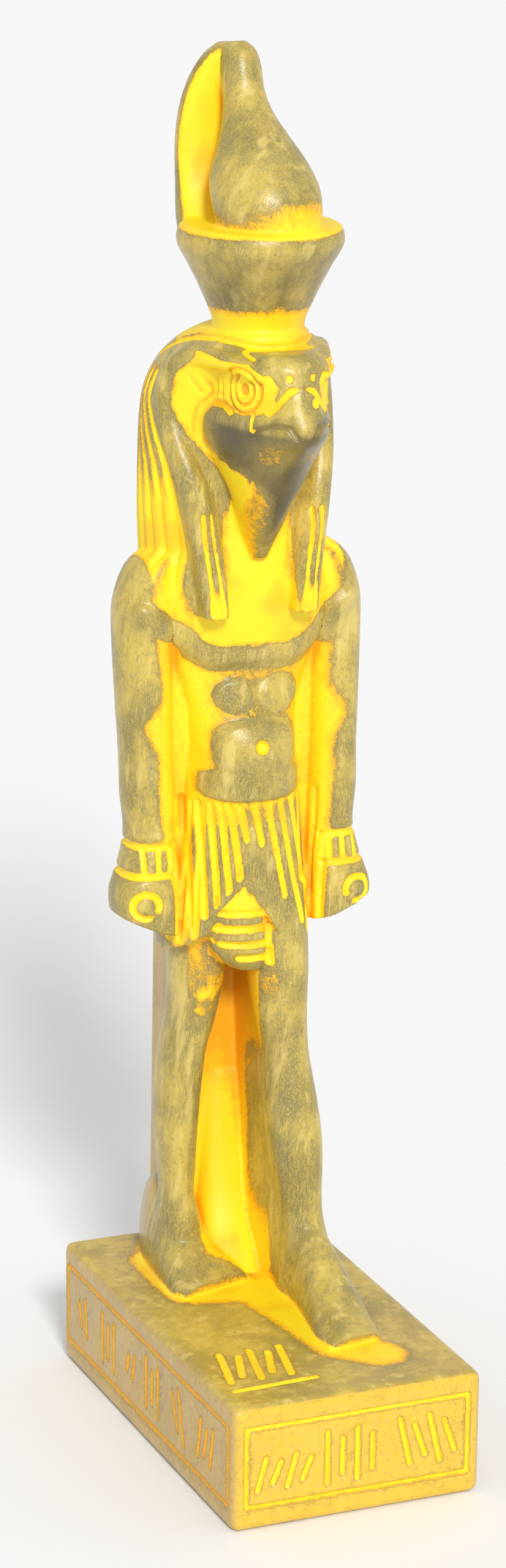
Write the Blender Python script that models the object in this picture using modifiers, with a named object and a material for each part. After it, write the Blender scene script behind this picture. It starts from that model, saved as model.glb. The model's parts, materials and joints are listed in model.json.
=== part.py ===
"""Falcon-headed striding figurine with a double crown, carved with its plinth from one block of stone."""
import math

import bmesh
import bpy
import numpy as np
from mathutils import Vector

# Driving sizes, in metres
PLINTH_WIDTH = 0.040
PLINTH_DEPTH = 0.070
PLINTH_HEIGHT = 0.0196
PLINTH_EDGE = 0.0014
FIGURE_HEIGHT = 0.1908
PILLAR_WIDTH = 0.0116
PILLAR_DEPTH = 0.0110
PILLAR_SETBACK = 0.0006

# Fineness of the carved surface
BLOCK_GRAIN = 0.00042
FINISHED_TRIANGLES = 9400

# Relief, in grid lines
CHEST_RIDGE = ((-17, 127.8), (-14.3, 126.0), (-10.8, 123.6), (-9.0, 121.6), (-6.1, 120.0), (0.5, 120.4),
               (5.0, 119.8), (8.2, 120.2), (11.6, 122.4), (13.6, 125.6), (16, 127.4))
TORSO_PATCHES = (((-3.0, 114.4), (2.8, 2.3), 2.0), ((4.4, 114.2), (3.1, 2.5), 2.0),
                 ((0, 106.6), (6.0, 3.7), 3.5), ((-0.3, 101.1), (7.2, 2.3), 4.0))
NAVEL = (0.2, 106.9)
EYE = (6.15, -1.9, 162.9)
EYE_TURN = math.radians(22.8)
BROW = ((-6.9, 164.2), (-5.9, 165.7), (-3.0, 166.7), (1.2, 166.6), (3.9, 167.0), (6.6, 167.3))
CURL = ((0, 159.4), (2, 160.2), (5, 160.0), (6.6, 158.4), (7.3, 155.7), (7.3, 152.8), (6.0, 151.4))
HEM = ((-12, 74.5), (-10, 75.0), (-7.5, 77.3), (-6.2, 80.4), (-2.0, 85.3), (0.9, 81.3), (4.1, 76.6),
       (6.0, 75.1), (9.8, 73.8), (12, 73.8))
HEM_BASE = 73.5
STROKE_WIDTH = 0.7
STROKE_DEPTH = 0.5
STROKE_STEP = 2.4
PLEATS = 5
PLEAT_WIDTH = 0.62
PLEAT_TOP = 98.2
PLEAT_LEAN = 0.24
PLEAT_LENGTHS = (5.8, 6.6, 15.5, 20.0, 18.5)
SASH_STRIPES = ((-4.9, 1.6, 81.0), (-5.6, 1.8, 78.5), (-5.0, 2.2, 75.9), (-2.4, 2.8, 73.5))
HAIR_LINE = ((18.8, 164.7), (15, 167), (10.6, 168.4), (5.6, 169), (1.7, 168.7), (-0.4, 168), (-2.6, 167.5),
             (-3.7, 167.4))
TEAR = ((-4.3, 159.8), (-4.3, 157.4))
NOSTRIL = ((-6.7, 159.9), (-7.6, 161.5), (-8.5, 163.8))
MOUTH = ((-4.3, 157.0), (-5.9, 157.9), (-7.8, 158.6), (-9.6, 158.4), (-10.4, 156.9))
FEATHERS = 4
STRANDS = 13
WIG_MIDDLE = 17.2
WIG_HALF = 12.5
BRACELET = (87.6, 91.9)
BRACELET_BARS = (13.0, 15.0, 17.2)
FIST = (17.2, 83.2)
HAND_LOW = 77.6
HAND_SLOPE = 0.42
LEFT_ARM_DROP = 0.03

# Groups of strokes on the plinth: place along the side, height, count and lean
FRONT_STROKES = ((-0.66, (2.4, 5.0), 4, 0.7), (-0.07, (1.8, 2.4), 4, 0.0), (0.63, (2.6, 2.2), 4, -0.9))
SIDE_STROKES = ((0.80, 0.7, 2, 0.5), (0.47, 1.0, 3, 0.0), (0.18, 0.5, 2, -0.4), (-0.09, 1.0, 3, 0.0),
                (-0.41, 1.0, 2, 1.2), (-0.74, 0.8, 3, -0.6))
SIDE_STROKE_GAP = 4.4
TOP_STROKES = (-10.4, 7.4, 17.6, 5, 1.1)
TOP_BAR = ((-17.0, 4.4), (-3.8, 5.0))

# Border sunk into the plinth's sides, in metres
BORDER_MARGIN = 0.0022
BORDER_FOOT = 0.0038
BORDER_HEAD = 0.0034
BORDER_WIDTH = 0.6

# The figure is drawn on a grid: its soles, the back of its pillar and the top of its crown are on these lines.
GRID_SOLE = 19.6
GRID_BACK = 34.4
GRID_TOP = 210.4
GRID = FIGURE_HEIGHT / (GRID_TOP - GRID_SOLE)
BACK = PLINTH_DEPTH / 2 - PILLAR_SETBACK
SIDES = 48
EMBED = 4.0


def to_metres(points):
    """Grid points, x to the figure's left and z up, as metres in the plinth's frame."""
    points = np.asarray(points, float)
    shifted = points - np.array([0.0, GRID_BACK, GRID_SOLE])
    return shifted * GRID + np.array([0.0, BACK, PLINTH_HEIGHT])


def to_grid(points):
    """Metres in the plinth's frame as grid points."""
    shifted = np.asarray(points, float) - np.array([0.0, BACK, PLINTH_HEIGHT])
    return shifted / GRID + np.array([0.0, GRID_BACK, GRID_SOLE])


def smooth_rows(rows, steps):
    """Rows of section sizes, filled in with a smooth curve through each column."""
    rows = np.asarray(rows, float)
    padded = np.vstack([2 * rows[0] - rows[1], rows, 2 * rows[-1] - rows[-2]])
    out = []
    for i in range(len(rows) - 1):
        a, b, c, d = padded[i:i + 4]
        for k in range(steps):
            t = k / steps
            out.append(0.5 * (2 * b + (c - a) * t + (2 * a - 5 * b + 4 * c - d) * t * t
                              + (3 * b - a - 3 * c + d) * t ** 3))
    out.append(rows[-1])
    return np.array(out)


def skin(rings):
    """Closed mesh over a stack of rings with equal counts."""
    count = len(rings[0])
    verts = [tuple(p) for ring in rings for p in ring]
    faces = []
    for r in range(len(rings) - 1):
        for k in range(count):
            a = r * count + k
            b = r * count + (k + 1) % count
            faces.append((a, b, b + count, a + count))
    faces.append(tuple(range(count - 1, -1, -1)))
    faces.append(tuple(range((len(rings) - 1) * count, len(rings) * count)))
    mesh = bpy.data.meshes.new("form")
    mesh.from_pydata(verts, [], faces)
    mesh.update()
    shell = bmesh.new()
    shell.from_mesh(mesh)
    bmesh.ops.recalc_face_normals(shell, faces=shell.faces)
    shell.to_mesh(mesh)
    shell.free()
    return mesh


def oval(half_a, half_b, power):
    """Superellipse points; power 2 is an ellipse and higher powers are squarer."""
    turn = np.linspace(0, 2 * math.pi, SIDES, endpoint=False)
    cos, sin = np.cos(turn), np.sin(turn)
    return (half_a * np.sign(cos) * np.abs(cos) ** (2 / power),
            half_b * np.sign(sin) * np.abs(sin) ** (2 / power))


def upright(rows, steps=5, shape=None):
    """Loft of level sections: z, centre x, centre y, half width, half depth, power."""
    rings = []
    for z, x, y, wide, deep, power in smooth_rows(rows, steps):
        u, v = oval(wide, deep, power)
        ring = np.stack([x + u, y + v, np.full(SIDES, z)], -1)
        rings.append(to_metres(shape(ring) if shape else ring))
    return skin(rings)


def lengthwise(rows, steps=5, shape=None):
    """Loft of sections that face forward: y, centre x, centre z, half width, half height, power."""
    rings = []
    for y, x, z, wide, high, power in smooth_rows(rows, steps):
        u, v = oval(wide, high, power)
        ring = np.stack([x + u, np.full(SIDES, y), z + v], -1)
        rings.append(to_metres(shape(ring) if shape else ring))
    return skin(rings)


def tilted(rows, steps=5):
    """Loft of round sections that tip forward: centre y, centre z, radius, tilt in degrees."""
    rings = []
    for y, z, radius, tilt in smooth_rows(rows, steps):
        u, v = oval(radius, radius, 2)
        lean = math.radians(tilt)
        rings.append(to_metres(np.stack([u, y + v * math.cos(lean), z + v * math.sin(lean)], -1)))
    return skin(rings)


def tube(path, steps=4):
    """Round bar along a path of x, y, z and radius."""
    rows = smooth_rows(path, steps)
    spots, radii = rows[:, :3], rows[:, 3]
    rings = []
    for spot, radius, way in zip(spots, radii, np.gradient(spots, axis=0)):
        way = way / np.linalg.norm(way)
        across = np.cross(way, (0.31, 0.9, 0.28))
        across /= np.linalg.norm(across)
        up = np.cross(way, across)
        u, v = oval(radius, radius, 2)
        rings.append(to_metres(spot + u[:, None] * across + v[:, None] * up))
    return skin(rings)


def box(low, high):
    """Box between two grid corners."""
    low, high = to_metres(low), to_metres(high)
    form = bmesh.new()
    bmesh.ops.create_cube(form, size=1.0)
    bmesh.ops.scale(form, vec=Vector(high - low), verts=form.verts)
    bmesh.ops.translate(form, vec=Vector((high + low) / 2), verts=form.verts)
    mesh = bpy.data.meshes.new("form")
    form.to_mesh(mesh)
    form.free()
    return mesh


def plinth():
    form = bmesh.new()
    bmesh.ops.create_cube(form, size=1.0)
    size = (PLINTH_WIDTH, PLINTH_DEPTH, PLINTH_HEIGHT)
    bmesh.ops.scale(form, vec=size, verts=form.verts)
    bmesh.ops.translate(form, vec=(0, 0, PLINTH_HEIGHT / 2), verts=form.verts)
    bmesh.ops.bevel(form, geom=form.edges[:], offset=PLINTH_EDGE, segments=4, profile=0.5, affect="EDGES")
    mesh = bpy.data.meshes.new("form")
    form.to_mesh(mesh)
    form.free()
    return mesh


def pillar():
    """Back pillar, a little wider at its foot."""
    half = PILLAR_WIDTH / 2 / GRID
    middle = GRID_BACK - PILLAR_DEPTH / 2 / GRID
    deep = PILLAR_DEPTH / 2 / GRID
    return [upright([(GRID_SOLE - EMBED, 0, middle, half + 0.6, deep + 0.2, 12),
                     (24, 0, middle, half + 0.2, deep, 12),
                     (60, 0, middle - 0.2, half, deep, 12),
                     (110, 0, middle - 1.0, half, deep, 12),
                     (150, 0, middle - 2.4, half - 0.2, deep - 0.6, 12)])]


def legs():
    right = [(84, -4.8, 17.4, 4.6, 6.0, 2.2),
             (71, -4.9, 17.4, 4.3, 5.4, 2.2),
             (62, -5.9, 17.4, 3.7, 4.8, 2.2),
             (56, -7.2, 17.6, 3.4, 4.8, 2.2),
             (45, -8.0, 18.0, 3.2, 5.0, 2.2),
             (37, -7.8, 18.0, 2.7, 4.2, 2.2),
             (33, -7.8, 17.8, 2.5, 3.9, 2.2),
             (28, -7.5, 18.0, 3.3, 5.0, 2.2),
             (GRID_SOLE - EMBED, -7.1, 18.8, 4.6, 6.8, 2.2)]
    left = [(84, 5.6, 13.4, 5.0, 6.4, 2.2),
            (71, 5.9, 11.4, 4.6, 5.4, 2.2),
            (65, 5.9, 10.4, 4.1, 5.0, 2.2),
            (58, 6.1, 8.8, 3.5, 4.6, 2.2),
            (50, 6.5, 7.2, 4.0, 5.0, 2.2),
            (43, 6.9, 6.0, 4.1, 5.0, 2.2),
            (33, 7.5, 4.8, 3.2, 4.0, 2.2),
            (27, 7.8, 3.6, 3.6, 4.6, 2.2),
            (GRID_SOLE - EMBED, 7.8, 2.8, 4.6, 6.0, 2.2)]
    return [upright(right), upright(left)]


def feet():
    """Wedge-shaped feet; the soles are inside the plinth."""
    floor = GRID_SOLE - EMBED / 2

    def on_plinth(ring):
        x, y, z = ring.T
        return np.stack([x, y, np.maximum(z, floor)], -1)

    right = [(30, -6.6, 31, 3.0), (25, -7.2, 33, 3.8), (19, -7.4, 31, 4.4), (14, -6.8, 26.6, 5.4),
             (10, -5.6, 23.4, 6.9), (7.6, -5.1, 21.6, 7.5)]
    left = [(9, 7.6, 30, 3.4), (4, 7.8, 32, 3.9), (-2, 7.9, 29.6, 4.2), (-8, 7.6, 26, 4.9),
            (-14, 6.9, 23, 5.5), (-19.4, 6.4, 21.2, 5.6)]
    forms = []
    for rows, slant in ((right, 0.30), (left, 0.18)):
        sections = [(y, x, floor, wide, top - floor, 2.4) for y, x, top, wide in rows]
        forms.append(lengthwise(sections, shape=lambda ring: on_plinth(skew(ring, slant))))
    return forms


def skew(ring, slant):
    """Turn a forward section a little, so that its inner side lies further back."""
    x, y, z = ring.T
    return np.stack([x, y + slant * (x - x.mean()), z], -1)


def leg_webs():
    """Stone left between the pillar and the legs, with a sloping fill at the foot."""
    left_web = upright([(GRID_SOLE - EMBED, 7.6, 15.0, 3.4, 11.0, 8),
                        (40, 7.2, 16.4, 3.2, 9.6, 8),
                        (60, 6.4, 17.6, 3.2, 8.0, 8),
                        (80, 5.8, 18.0, 3.4, 8.0, 8)])
    back_web = box((-7.4, 21.5, GRID_SOLE - EMBED), (8.0, 26, 86))
    fill = upright([(GRID_SOLE - EMBED, 1.0, 18.0, 6.4, 10.0, 2.4),
                    (GRID_SOLE + 3, 1.2, 19.5, 5.4, 6.4, 2.4),
                    (28, 1.4, 21.5, 4.6, 4.4, 2.4),
                    (36, 1.6, 22.5, 4.0, 3.2, 2.4),
                    (50, 2.0, 23.5, 3.6, 2.4, 2.4)])
    return [left_web, back_web, fill]


def kilt():
    """Wrapped kilt whose two panels are rounded at the hem and cut away over the sash end."""
    def hem(ring):
        x, y, z = ring.T
        front = np.clip((15 - y) / 4, 0, 1)
        rise = (np.interp(x, *zip(*HEM)) - HEM_BASE) * front
        low = np.clip((88 - z) / (88 - HEM_BASE), 0, 1)
        return np.stack([x, y, z + rise * low], -1)

    return [upright([(103, 0, 15.4, 9.0, 10.0, 2.4),
                     (98, 0, 15.4, 9.4, 10.2, 2.4),
                     (90, 0, 15.4, 10.2, 9.8, 2.4),
                     (82, 0, 15.4, 11.0, 9.6, 2.4),
                     (76, 0, 15.6, 11.6, 9.6, 2.4),
                     (HEM_BASE, 0, 15.6, 11.5, 9.4, 2.4)], steps=8, shape=hem)]


def tab():
    """Striped end of the sash that hangs between the kilt's panels."""
    return [upright([(87, -1.3, 9.8, 0.8, 4.0, 2.2),
                     (84, -1.4, 9.6, 2.6, 4.2, 2.2),
                     (80, -1.6, 9.6, 4.3, 4.2, 2.2),
                     (76, -1.2, 9.8, 4.8, 4.2, 2.2),
                     (73, -0.4, 10.4, 4.2, 4.0, 2.2),
                     (71, 0.6, 11.0, 2.8, 3.6, 2.2)])]


def torso():
    return [upright([(96, 0, 15.4, 9.0, 10.2, 2.3),
                     (101, 0, 15.4, 8.8, 10.8, 2.3),
                     (107, 0, 15.4, 8.6, 10.4, 2.3),
                     (112, 0, 15.6, 9.2, 8.4, 2.3),
                     (118, 0, 15.8, 11.4, 7.2, 2.3),
                     (124, 0, 15.8, 13.6, 8.2, 2.4),
                     (130, 0, 15.8, 14.8, 9.2, 2.4),
                     (135, 0, 16.0, 13.6, 9.2, 2.4),
                     (141, 0, 16.0, 9.6, 8.6, 2.3)])]


def arms():
    """Arms held at the sides; the figure's left arm is carved a little lower."""
    def hand_cut(ring):
        """The hands end in a slanting cut."""
        x, y, z = ring.T
        return np.stack([x, y, np.maximum(z, HAND_LOW + HAND_SLOPE * (np.abs(x) - 12))], -1)

    rows = [(136.2, 11.6, 15.4, 2.4, 3.4, 2.2),
            (133.6, 13.2, 15.2, 4.2, 5.0, 2.2),
            (128.5, 14.9, 15.0, 4.5, 5.4, 2.2),
            (123, 15.4, 14.8, 4.2, 5.2, 2.2),
            (112, 15.2, 14.2, 4.0, 5.0, 2.2),
            (106, 15.1, 13.8, 3.8, 4.8, 2.2),
            (99, 14.9, 13.4, 3.9, 4.8, 2.2),
            (93.5, 14.6, 13.2, 3.7, 4.6, 2.2),
            (89, 14.9, 12.8, 4.2, 4.9, 2.4),
            (84.5, 15.7, 12.4, 4.9, 5.4, 2.6),
            (81.0, 15.6, 12.4, 4.9, 5.4, 2.6),
            (76, 15.4, 12.4, 4.6, 5.2, 2.6)]
    forms = []
    for side, drop in ((-1, 0.0), (1, LEFT_ARM_DROP)):
        forms.append(upright([(z - drop * (134 - z), side * x, y, wide, deep, power)
                              for z, x, y, wide, deep, power in rows], shape=hand_cut))
    return forms


def arm_webs():
    """Stone left between the arms and the body, with its lower edge cut on a slant."""
    def slant(ring):
        x, y, z = ring.T
        low = np.clip((86 - z) / 10, 0, 1)
        return np.stack([x, y, z + low * HAND_SLOPE * np.abs(x)], -1)

    return [upright([(134, 0, 18.0, 12.0, 5.4, 8),
                     (110, 0, 18.0, 14.6, 5.4, 8),
                     (90, 0, 18.0, 14.4, 5.4, 8),
                     (72.8, 0, 18.0, 13.4, 5.4, 8)], steps=8, shape=slant)]


def wig():
    return [upright([(129, 0, 18.6, 13.0, 8.4, 2.2),
                     (136, 0, 17.6, 14.2, 10.0, 2.2),
                     (146, 0, 17.2, 14.5, 10.4, 2.2),
                     (155, 0, 16.8, 14.4, 10.6, 2.2),
                     (160, 0, 16.0, 13.9, 10.8, 2.2),
                     (164, 0, 14.4, 12.4, 11.2, 2.2),
                     (167, 0, 12.0, 10.2, 11.2, 2.2),
                     (169.2, 0, 9.6, 7.8, 9.2, 2.2),
                     (170.6, 0, 8.2, 5.4, 6.6, 2.2)])]


def face():
    """Falcon's head: flat forehead, hooked beak, full cheeks and a throat that narrows to a point."""
    sections = [(135.6, 5.6, 6.6, 1.2, 1.9), (139, 2.8, 8.0, 2.6, 1.9), (143, -0.2, 8.0, 4.0, 1.9),
                (147, -3.0, 8.0, 5.4, 1.9), (151, -5.8, 8.0, 7.2, 1.8), (154, -8.4, 8.0, 8.7, 1.7),
                (156, -10.7, 8.0, 9.2, 1.65), (158, -10.8, 8.0, 9.3, 1.7), (161, -9.6, 8.0, 8.2, 1.85),
                (164, -8.6, 8.0, 7.6, 2.1), (166.6, -7.8, 8.0, 7.4, 2.4), (168.2, -6.2, 8.0, 6.4, 2.4)]
    return [upright([(z, 0, middle, wide, middle - front, power) for z, front, middle, wide, power in sections])]


def front_roll():
    """Raised edge of the wig, from the brow round the side of the face down to the lappet's end."""
    path = [(4.6, -5.8, 165.2, 0.9), (6.2, -2.4, 165.8, 1.1), (7.8, 2.6, 166.4, 1.4), (9.7, 8.6, 166.0, 1.7),
            (11.3, 12.6, 163.2, 1.9), (12.1, 13.2, 159, 1.9), (11.7, 11.4, 154, 1.9), (10.7, 9.2, 149.4, 2.0),
            (9.6, 7.7, 144.6, 2.1), (8.6, 6.8, 139, 2.1), (7.7, 6.4, 133, 2.1), (7.1, 6.2, 127.4, 2.0)]
    return [tube([(side * x, y, z, radius) for x, y, z, radius in path]) for side in (-1, 1)]


def lappets():
    forms = []
    for side in (-1, 1):
        forms.append(upright([(152, side * 9.0, 14.2, 2.8, 5.0, 2.4),
                              (146, side * 8.8, 12.2, 3.0, 5.0, 2.4),
                              (140, side * 8.2, 9.8, 2.6, 4.4, 2.4),
                              (133, side * 7.5, 8.0, 2.3, 3.8, 2.4),
                              (127.3, side * 7.1, 6.9, 2.1, 3.1, 2.8)]))
    return forms


def cup():
    """Flaring base of the double crown, with a rounded lip."""
    return [tilted([(8.6, 165.0, 8.4, 0),
                    (8.0, 170.0, 6.7, 0),
                    (7.8, 174.5, 8.2, 0),
                    (7.7, 179.0, 10.4, 0),
                    (7.6, 182.4, 12.2, 0),
                    (7.6, 184.6, 11.9, 0),
                    (7.6, 185.2, 11.0, 0)])]


def bulb():
    """Pear-shaped tall crown that leans back against the spire."""
    return [tilted([(4.4, 182.0, 6.8, 4),
                    (4.6, 186.0, 7.7, 0),
                    (6.0, 189.6, 8.0, -8),
                    (8.4, 192.8, 7.2, -16),
                    (10.6, 196.2, 5.4, -22),
                    (12.7, 199.4, 3.9, -26),
                    (14.4, 202.8, 3.1, -20),
                    (15.6, 206.4, 3.0, -14),
                    (16.2, 208.8, 2.4, -10),
                    (16.5, 210.2, 1.0, -8)])]


def spire():
    """Flat upright at the back of the crown that grows out of the cup's rim."""
    return [upright([(181, 0, 13.6, 9.6, 5.0, 2.8),
                     (185, 0, 16.8, 9.2, 3.8, 2.8),
                     (190, 0, 19.0, 8.6, 2.8, 2.8),
                     (196, -0.6, 19.8, 7.8, 2.3, 2.8),
                     (201, -1.2, 19.9, 6.4, 2.3, 2.8),
                     (205, -1.4, 19.6, 4.8, 2.3, 2.6),
                     (208, -1.2, 19.0, 3.2, 2.2, 2.6),
                     (209.8, -0.8, 18.4, 1.6, 1.6, 2.4)])]


def distance(points, line):
    """Distance of flat points from a drawn line of straight runs."""
    nearest = np.full(len(points), 1e6)
    line = np.asarray(line, float)
    for start, end in zip(line[:-1], line[1:]):
        along = end - start
        share = np.clip((points - start) @ along / max(along @ along, 1e-9), 0, 1)
        nearest = np.minimum(nearest, np.linalg.norm(points - (start + share[:, None] * along), axis=1))
    return nearest


def soft(gap, reach):
    """1 on a line, falling smoothly to 0 at its reach."""
    return 0.5 + 0.5 * np.cos(math.pi * np.clip(gap / reach, 0, 1))


def between(value, low, high, blur=0.6):
    """1 between two levels, with soft ends."""
    return np.clip((value - low) / blur + 0.5, 0, 1) * np.clip((high - value) / blur + 0.5, 0, 1)


def patch(points, centre, half, edge=0.35, power=2.0):
    """1 inside an oval or a squarer outline, falling to 0 over its edge."""
    offset = np.abs((points - np.asarray(centre)) / np.asarray(half))
    reach = (offset ** power).sum(axis=1) ** (1 / power)
    return 1 - np.clip((reach - 1 + edge / 2) / edge, 0, 1)


def ring(points, centre, half, width):
    """Groove along an oval."""
    offset = (points - np.asarray(centre)) / np.asarray(half)
    gap = np.abs(np.linalg.norm(offset, axis=1) - 1) * min(half)
    return soft(gap, width)


def stroke_group(middle, low, high, count, lean):
    """Strokes side by side that spell nothing, all leaning one way."""
    lines = []
    for k in range(count):
        at = middle + (k - (count - 1) / 2) * STROKE_STEP
        short = 0.16 * (k % 2) * (high - low)
        lines.append([(at - lean, low + short), (at + lean, high - short)])
    return lines


def plinth_relief(spots, normals):
    """Sunk borders on three sides, and groups of strokes on the front, right-hand side and top."""
    x, y, z = spots.T
    middle = GRID_BACK - BACK / GRID
    low, high = GRID_SOLE - np.array([PLINTH_HEIGHT - BORDER_FOOT, BORDER_HEAD]) / GRID
    half_width, half_depth = (np.array([PLINTH_WIDTH, PLINTH_DEPTH]) / 2 - BORDER_MARGIN) / GRID
    level = (low + high) / 2
    front, side = [], []
    for place, (foot, head), count, lean in FRONT_STROKES:
        front += stroke_group(place * half_width, low + foot, high - head, count, lean)
    for place, share, count, lean in SIDE_STROKES:
        reach = share * (high - low - SIDE_STROKE_GAP) / 2
        side += stroke_group(place * half_depth, level - reach, level + reach, count, lean)
    cut = np.zeros(len(spots))
    for along, facing, half, lines in ((x, normals[:, 1] < -0.7, half_width, front),
                                       (y - middle, normals[:, 0] < -0.7, half_depth, side),
                                       (y - middle, normals[:, 0] > 0.7, half_depth, [])):
        flat = np.stack([along, z], -1)
        frame = [(-half, low), (half, low), (half, high), (-half, high), (-half, low)]
        on_side = facing * (z < GRID_SOLE)
        cut = np.maximum(cut, soft(distance(flat, frame), BORDER_WIDTH) * 0.8 * on_side)
        for line in lines:
            cut = np.maximum(cut, soft(distance(flat, line), STROKE_WIDTH) * on_side)
    flat = np.stack([x, y - middle + half_depth], -1)
    on_top = (normals[:, 2] > 0.7) * (z < GRID_SOLE + 0.5)
    for line in stroke_group(*TOP_STROKES) + [TOP_BAR]:
        cut = np.maximum(cut, soft(distance(flat, line), STROKE_WIDTH) * on_top)
    return -STROKE_DEPTH * cut


def torso_relief(spots, normals):
    """Chest ridge, belly and belt, left standing when the ground round them was sunk."""
    x, y, z = spots.T
    front = np.clip(-normals[:, 1] * 2, 0, 1)
    flat = np.stack([x, z], -1)
    up = soft(distance(flat, CHEST_RIDGE), 2.4) * 0.8
    for centre, half, power in TORSO_PATCHES:
        up = np.maximum(up, patch(flat, centre, half, 0.3, power) * 0.6)
    navel = patch(flat, NAVEL, (0.9, 0.9), 0.6)
    return (up - 0.9 * navel) * front * between(z, 97.5, 129) * (y < 13)


def kilt_relief(spots, normals):
    """Fan of pleats on either side of a smooth overlap, and the stripes of the sash end."""
    x, y, z = spots.T
    flat = np.stack([x, z], -1)
    front = np.clip(-normals[:, 1] * 2.5, 0, 1)
    pleats = []
    for k in range(PLEATS):
        pleats.append([(-9.6 + 1.3 * k, PLEAT_TOP), (-9.4 + 1.75 * k, 78.8 + 1.6 * k)])
        top, long = -3.1 + 2.2 * k, PLEAT_LENGTHS[k]
        pleats.append([(top, PLEAT_TOP), (top + PLEAT_LEAN * long, PLEAT_TOP - long)])
    hem = np.interp(x, *zip(*HEM))
    cut = np.zeros(len(spots))
    for line in pleats:
        cut = np.maximum(cut, soft(distance(flat, line), PLEAT_WIDTH) * 0.6)
    cut *= front * between(z, 74, 98.6) * (np.abs(x) < 11.4) * (y < 14) * (z > hem + 1.4)
    round_side = np.clip(np.abs(normals[:, 0]) * 2 - 0.6, 0, 1) * (np.abs(x) < 12.4)
    side = np.zeros(len(spots))
    for k in range(4):
        side = np.maximum(side, soft(np.abs(y - 8.6 - 2.2 * k), 0.7) * 0.5)
    cut = np.maximum(cut, side * round_side * between(z, 76, 98) * (y < 17))
    stripes = soft(distance(flat, [(1.9, 80.8), (2.9, 72.4)]), 0.8) * 0.5
    for left, right, level in SASH_STRIPES:
        stripes = np.maximum(stripes, soft(distance(flat, [(left, level), (right, level - 0.2)]), 0.8) * 0.6)
    on_tab = front * (y < 9.4) * (np.abs(x + 1) < 5.2) * between(z, 71.2, 83.6) * (z < hem)
    return -np.maximum(cut, stripes * on_tab)


def arm_relief(spots, normals):
    """Two-band bracelets with upright bars, and the curled groove of each fist."""
    x, y, z = spots.T
    on_arm = (np.abs(x) > 11.6) * between(z, 78, 93.5)
    level = z + 0.9 * (x > 0)
    flat = np.stack([np.abs(x), level], -1)
    outer = (normals[:, 1] < -0.2) | (np.abs(normals[:, 0]) > 0.5)
    cut = np.zeros(len(spots))
    for band in BRACELET:
        cut = np.maximum(cut, soft(np.abs(level - band), 0.65) * 0.55)
    for bar in BRACELET_BARS:
        rim = soft(np.abs(np.abs(x) - bar), 0.5) * between(level, *BRACELET) * (normals[:, 1] < -0.2)
        cut = np.maximum(cut, rim * 0.45)
    curl = ring(flat, FIST, (2.0, 1.9), 0.62) * (normals[:, 1] < -0.1) * 0.6
    curl *= (np.abs(x) > FIST[0] - 0.8) | (level > FIST[1] - 0.8)
    cut = np.maximum(cut, curl)
    return -cut * on_arm * outer * (y < 19)


def roll_line(z):
    """How far back the wig's front roll lies at a level."""
    return np.interp(z, [127, 133, 139, 144.6, 149.4, 154, 159, 163.4, 166.4],
                     [6.2, 6.4, 6.8, 7.6, 9.0, 11.2, 13.2, 12.6, 8.6])


def eye_plane(spots):
    """Places measured from the eye's middle, back along the cheek and up."""
    x, y, z = spots.T
    back = math.sin(EYE_TURN) * (np.abs(x) - EYE[0]) + math.cos(EYE_TURN) * (y - EYE[1])
    return np.stack([back, z - EYE[2]], -1)


def head_relief(spots, normals):
    """Wig strands, ringed eye, cheek curl, feathers and beak lines, the same on both sides."""
    x, y, z = spots.T
    flat = np.stack([y, z], -1)
    sideways = np.clip(np.abs(normals[:, 0]) * 3, 0, 1)
    on_face = (y < 10) * (z > 148) * (z < 168)
    cut = np.zeros(len(spots))
    lines = [(CURL, 0.8, 0.7), (TEAR, 0.5, 0.4), (NOSTRIL, 0.5, 0.45), (MOUTH, 0.55, 0.5), (BROW, 0.5, 0.25)]
    lines += [(((3.0 + 1.4 * k, 160.9), (3.6 + 1.5 * k, 163.2)), 0.5, 0.25) for k in range(FEATHERS)]
    for line, width, depth in lines:
        cut = np.maximum(cut, soft(distance(flat, line), width) * depth * sideways * on_face)
    eye = eye_plane(spots)
    near_eye = sideways * (y < 4) * (z > 158) * (z < 168)
    cut = np.maximum(cut, patch(eye, (0, 0), (0.8, 1.0), 0.5) * 0.3 * near_eye)
    for half, width, depth in (((2.0, 2.2), 0.4, 0.3), ((3.3, 3.3), 0.55, 0.45)):
        cut = np.maximum(cut, ring(eye, (0, 0), half, width) * depth * near_eye)
    up = np.maximum(ring(eye, (0, 0), (1.4, 1.6), 0.5), ring(eye, (0, 0), (2.65, 2.75), 0.55)) * 0.28 * near_eye
    cut = np.maximum(cut, soft(distance(flat, HAIR_LINE), 0.55) * 0.4 * (z > 163))
    start = np.arctan2(roll_line(z) + 1.8 - WIG_MIDDLE, WIG_HALF)
    turn = (np.arctan2(y - WIG_MIDDLE, np.abs(x)) - start) / (math.pi / 2 - start)
    strands = soft(np.abs((turn * STRANDS) % 1 - 0.5) * 2.2, 0.8) * 0.45
    on_wig = between(z, 131, 163, 2) * (turn > 0) * (np.abs(x) < 15.4)
    cut = np.maximum(cut, strands * on_wig)
    lappet = between(z, 127.8, 143) * (y < 9.0) * (np.abs(x) > 4.4) * (np.abs(x) < 11) * (normals[:, 1] < -0.2)
    centre = np.interp(z, [127.3, 133, 140], [7.1, 7.6, 8.6])
    for offset in (-0.7, 0.9):
        cut = np.maximum(cut, soft(np.abs(np.abs(x) - centre - offset), 0.5) * 0.45 * lappet)
    return (up - cut) * (z > 126)


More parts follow.
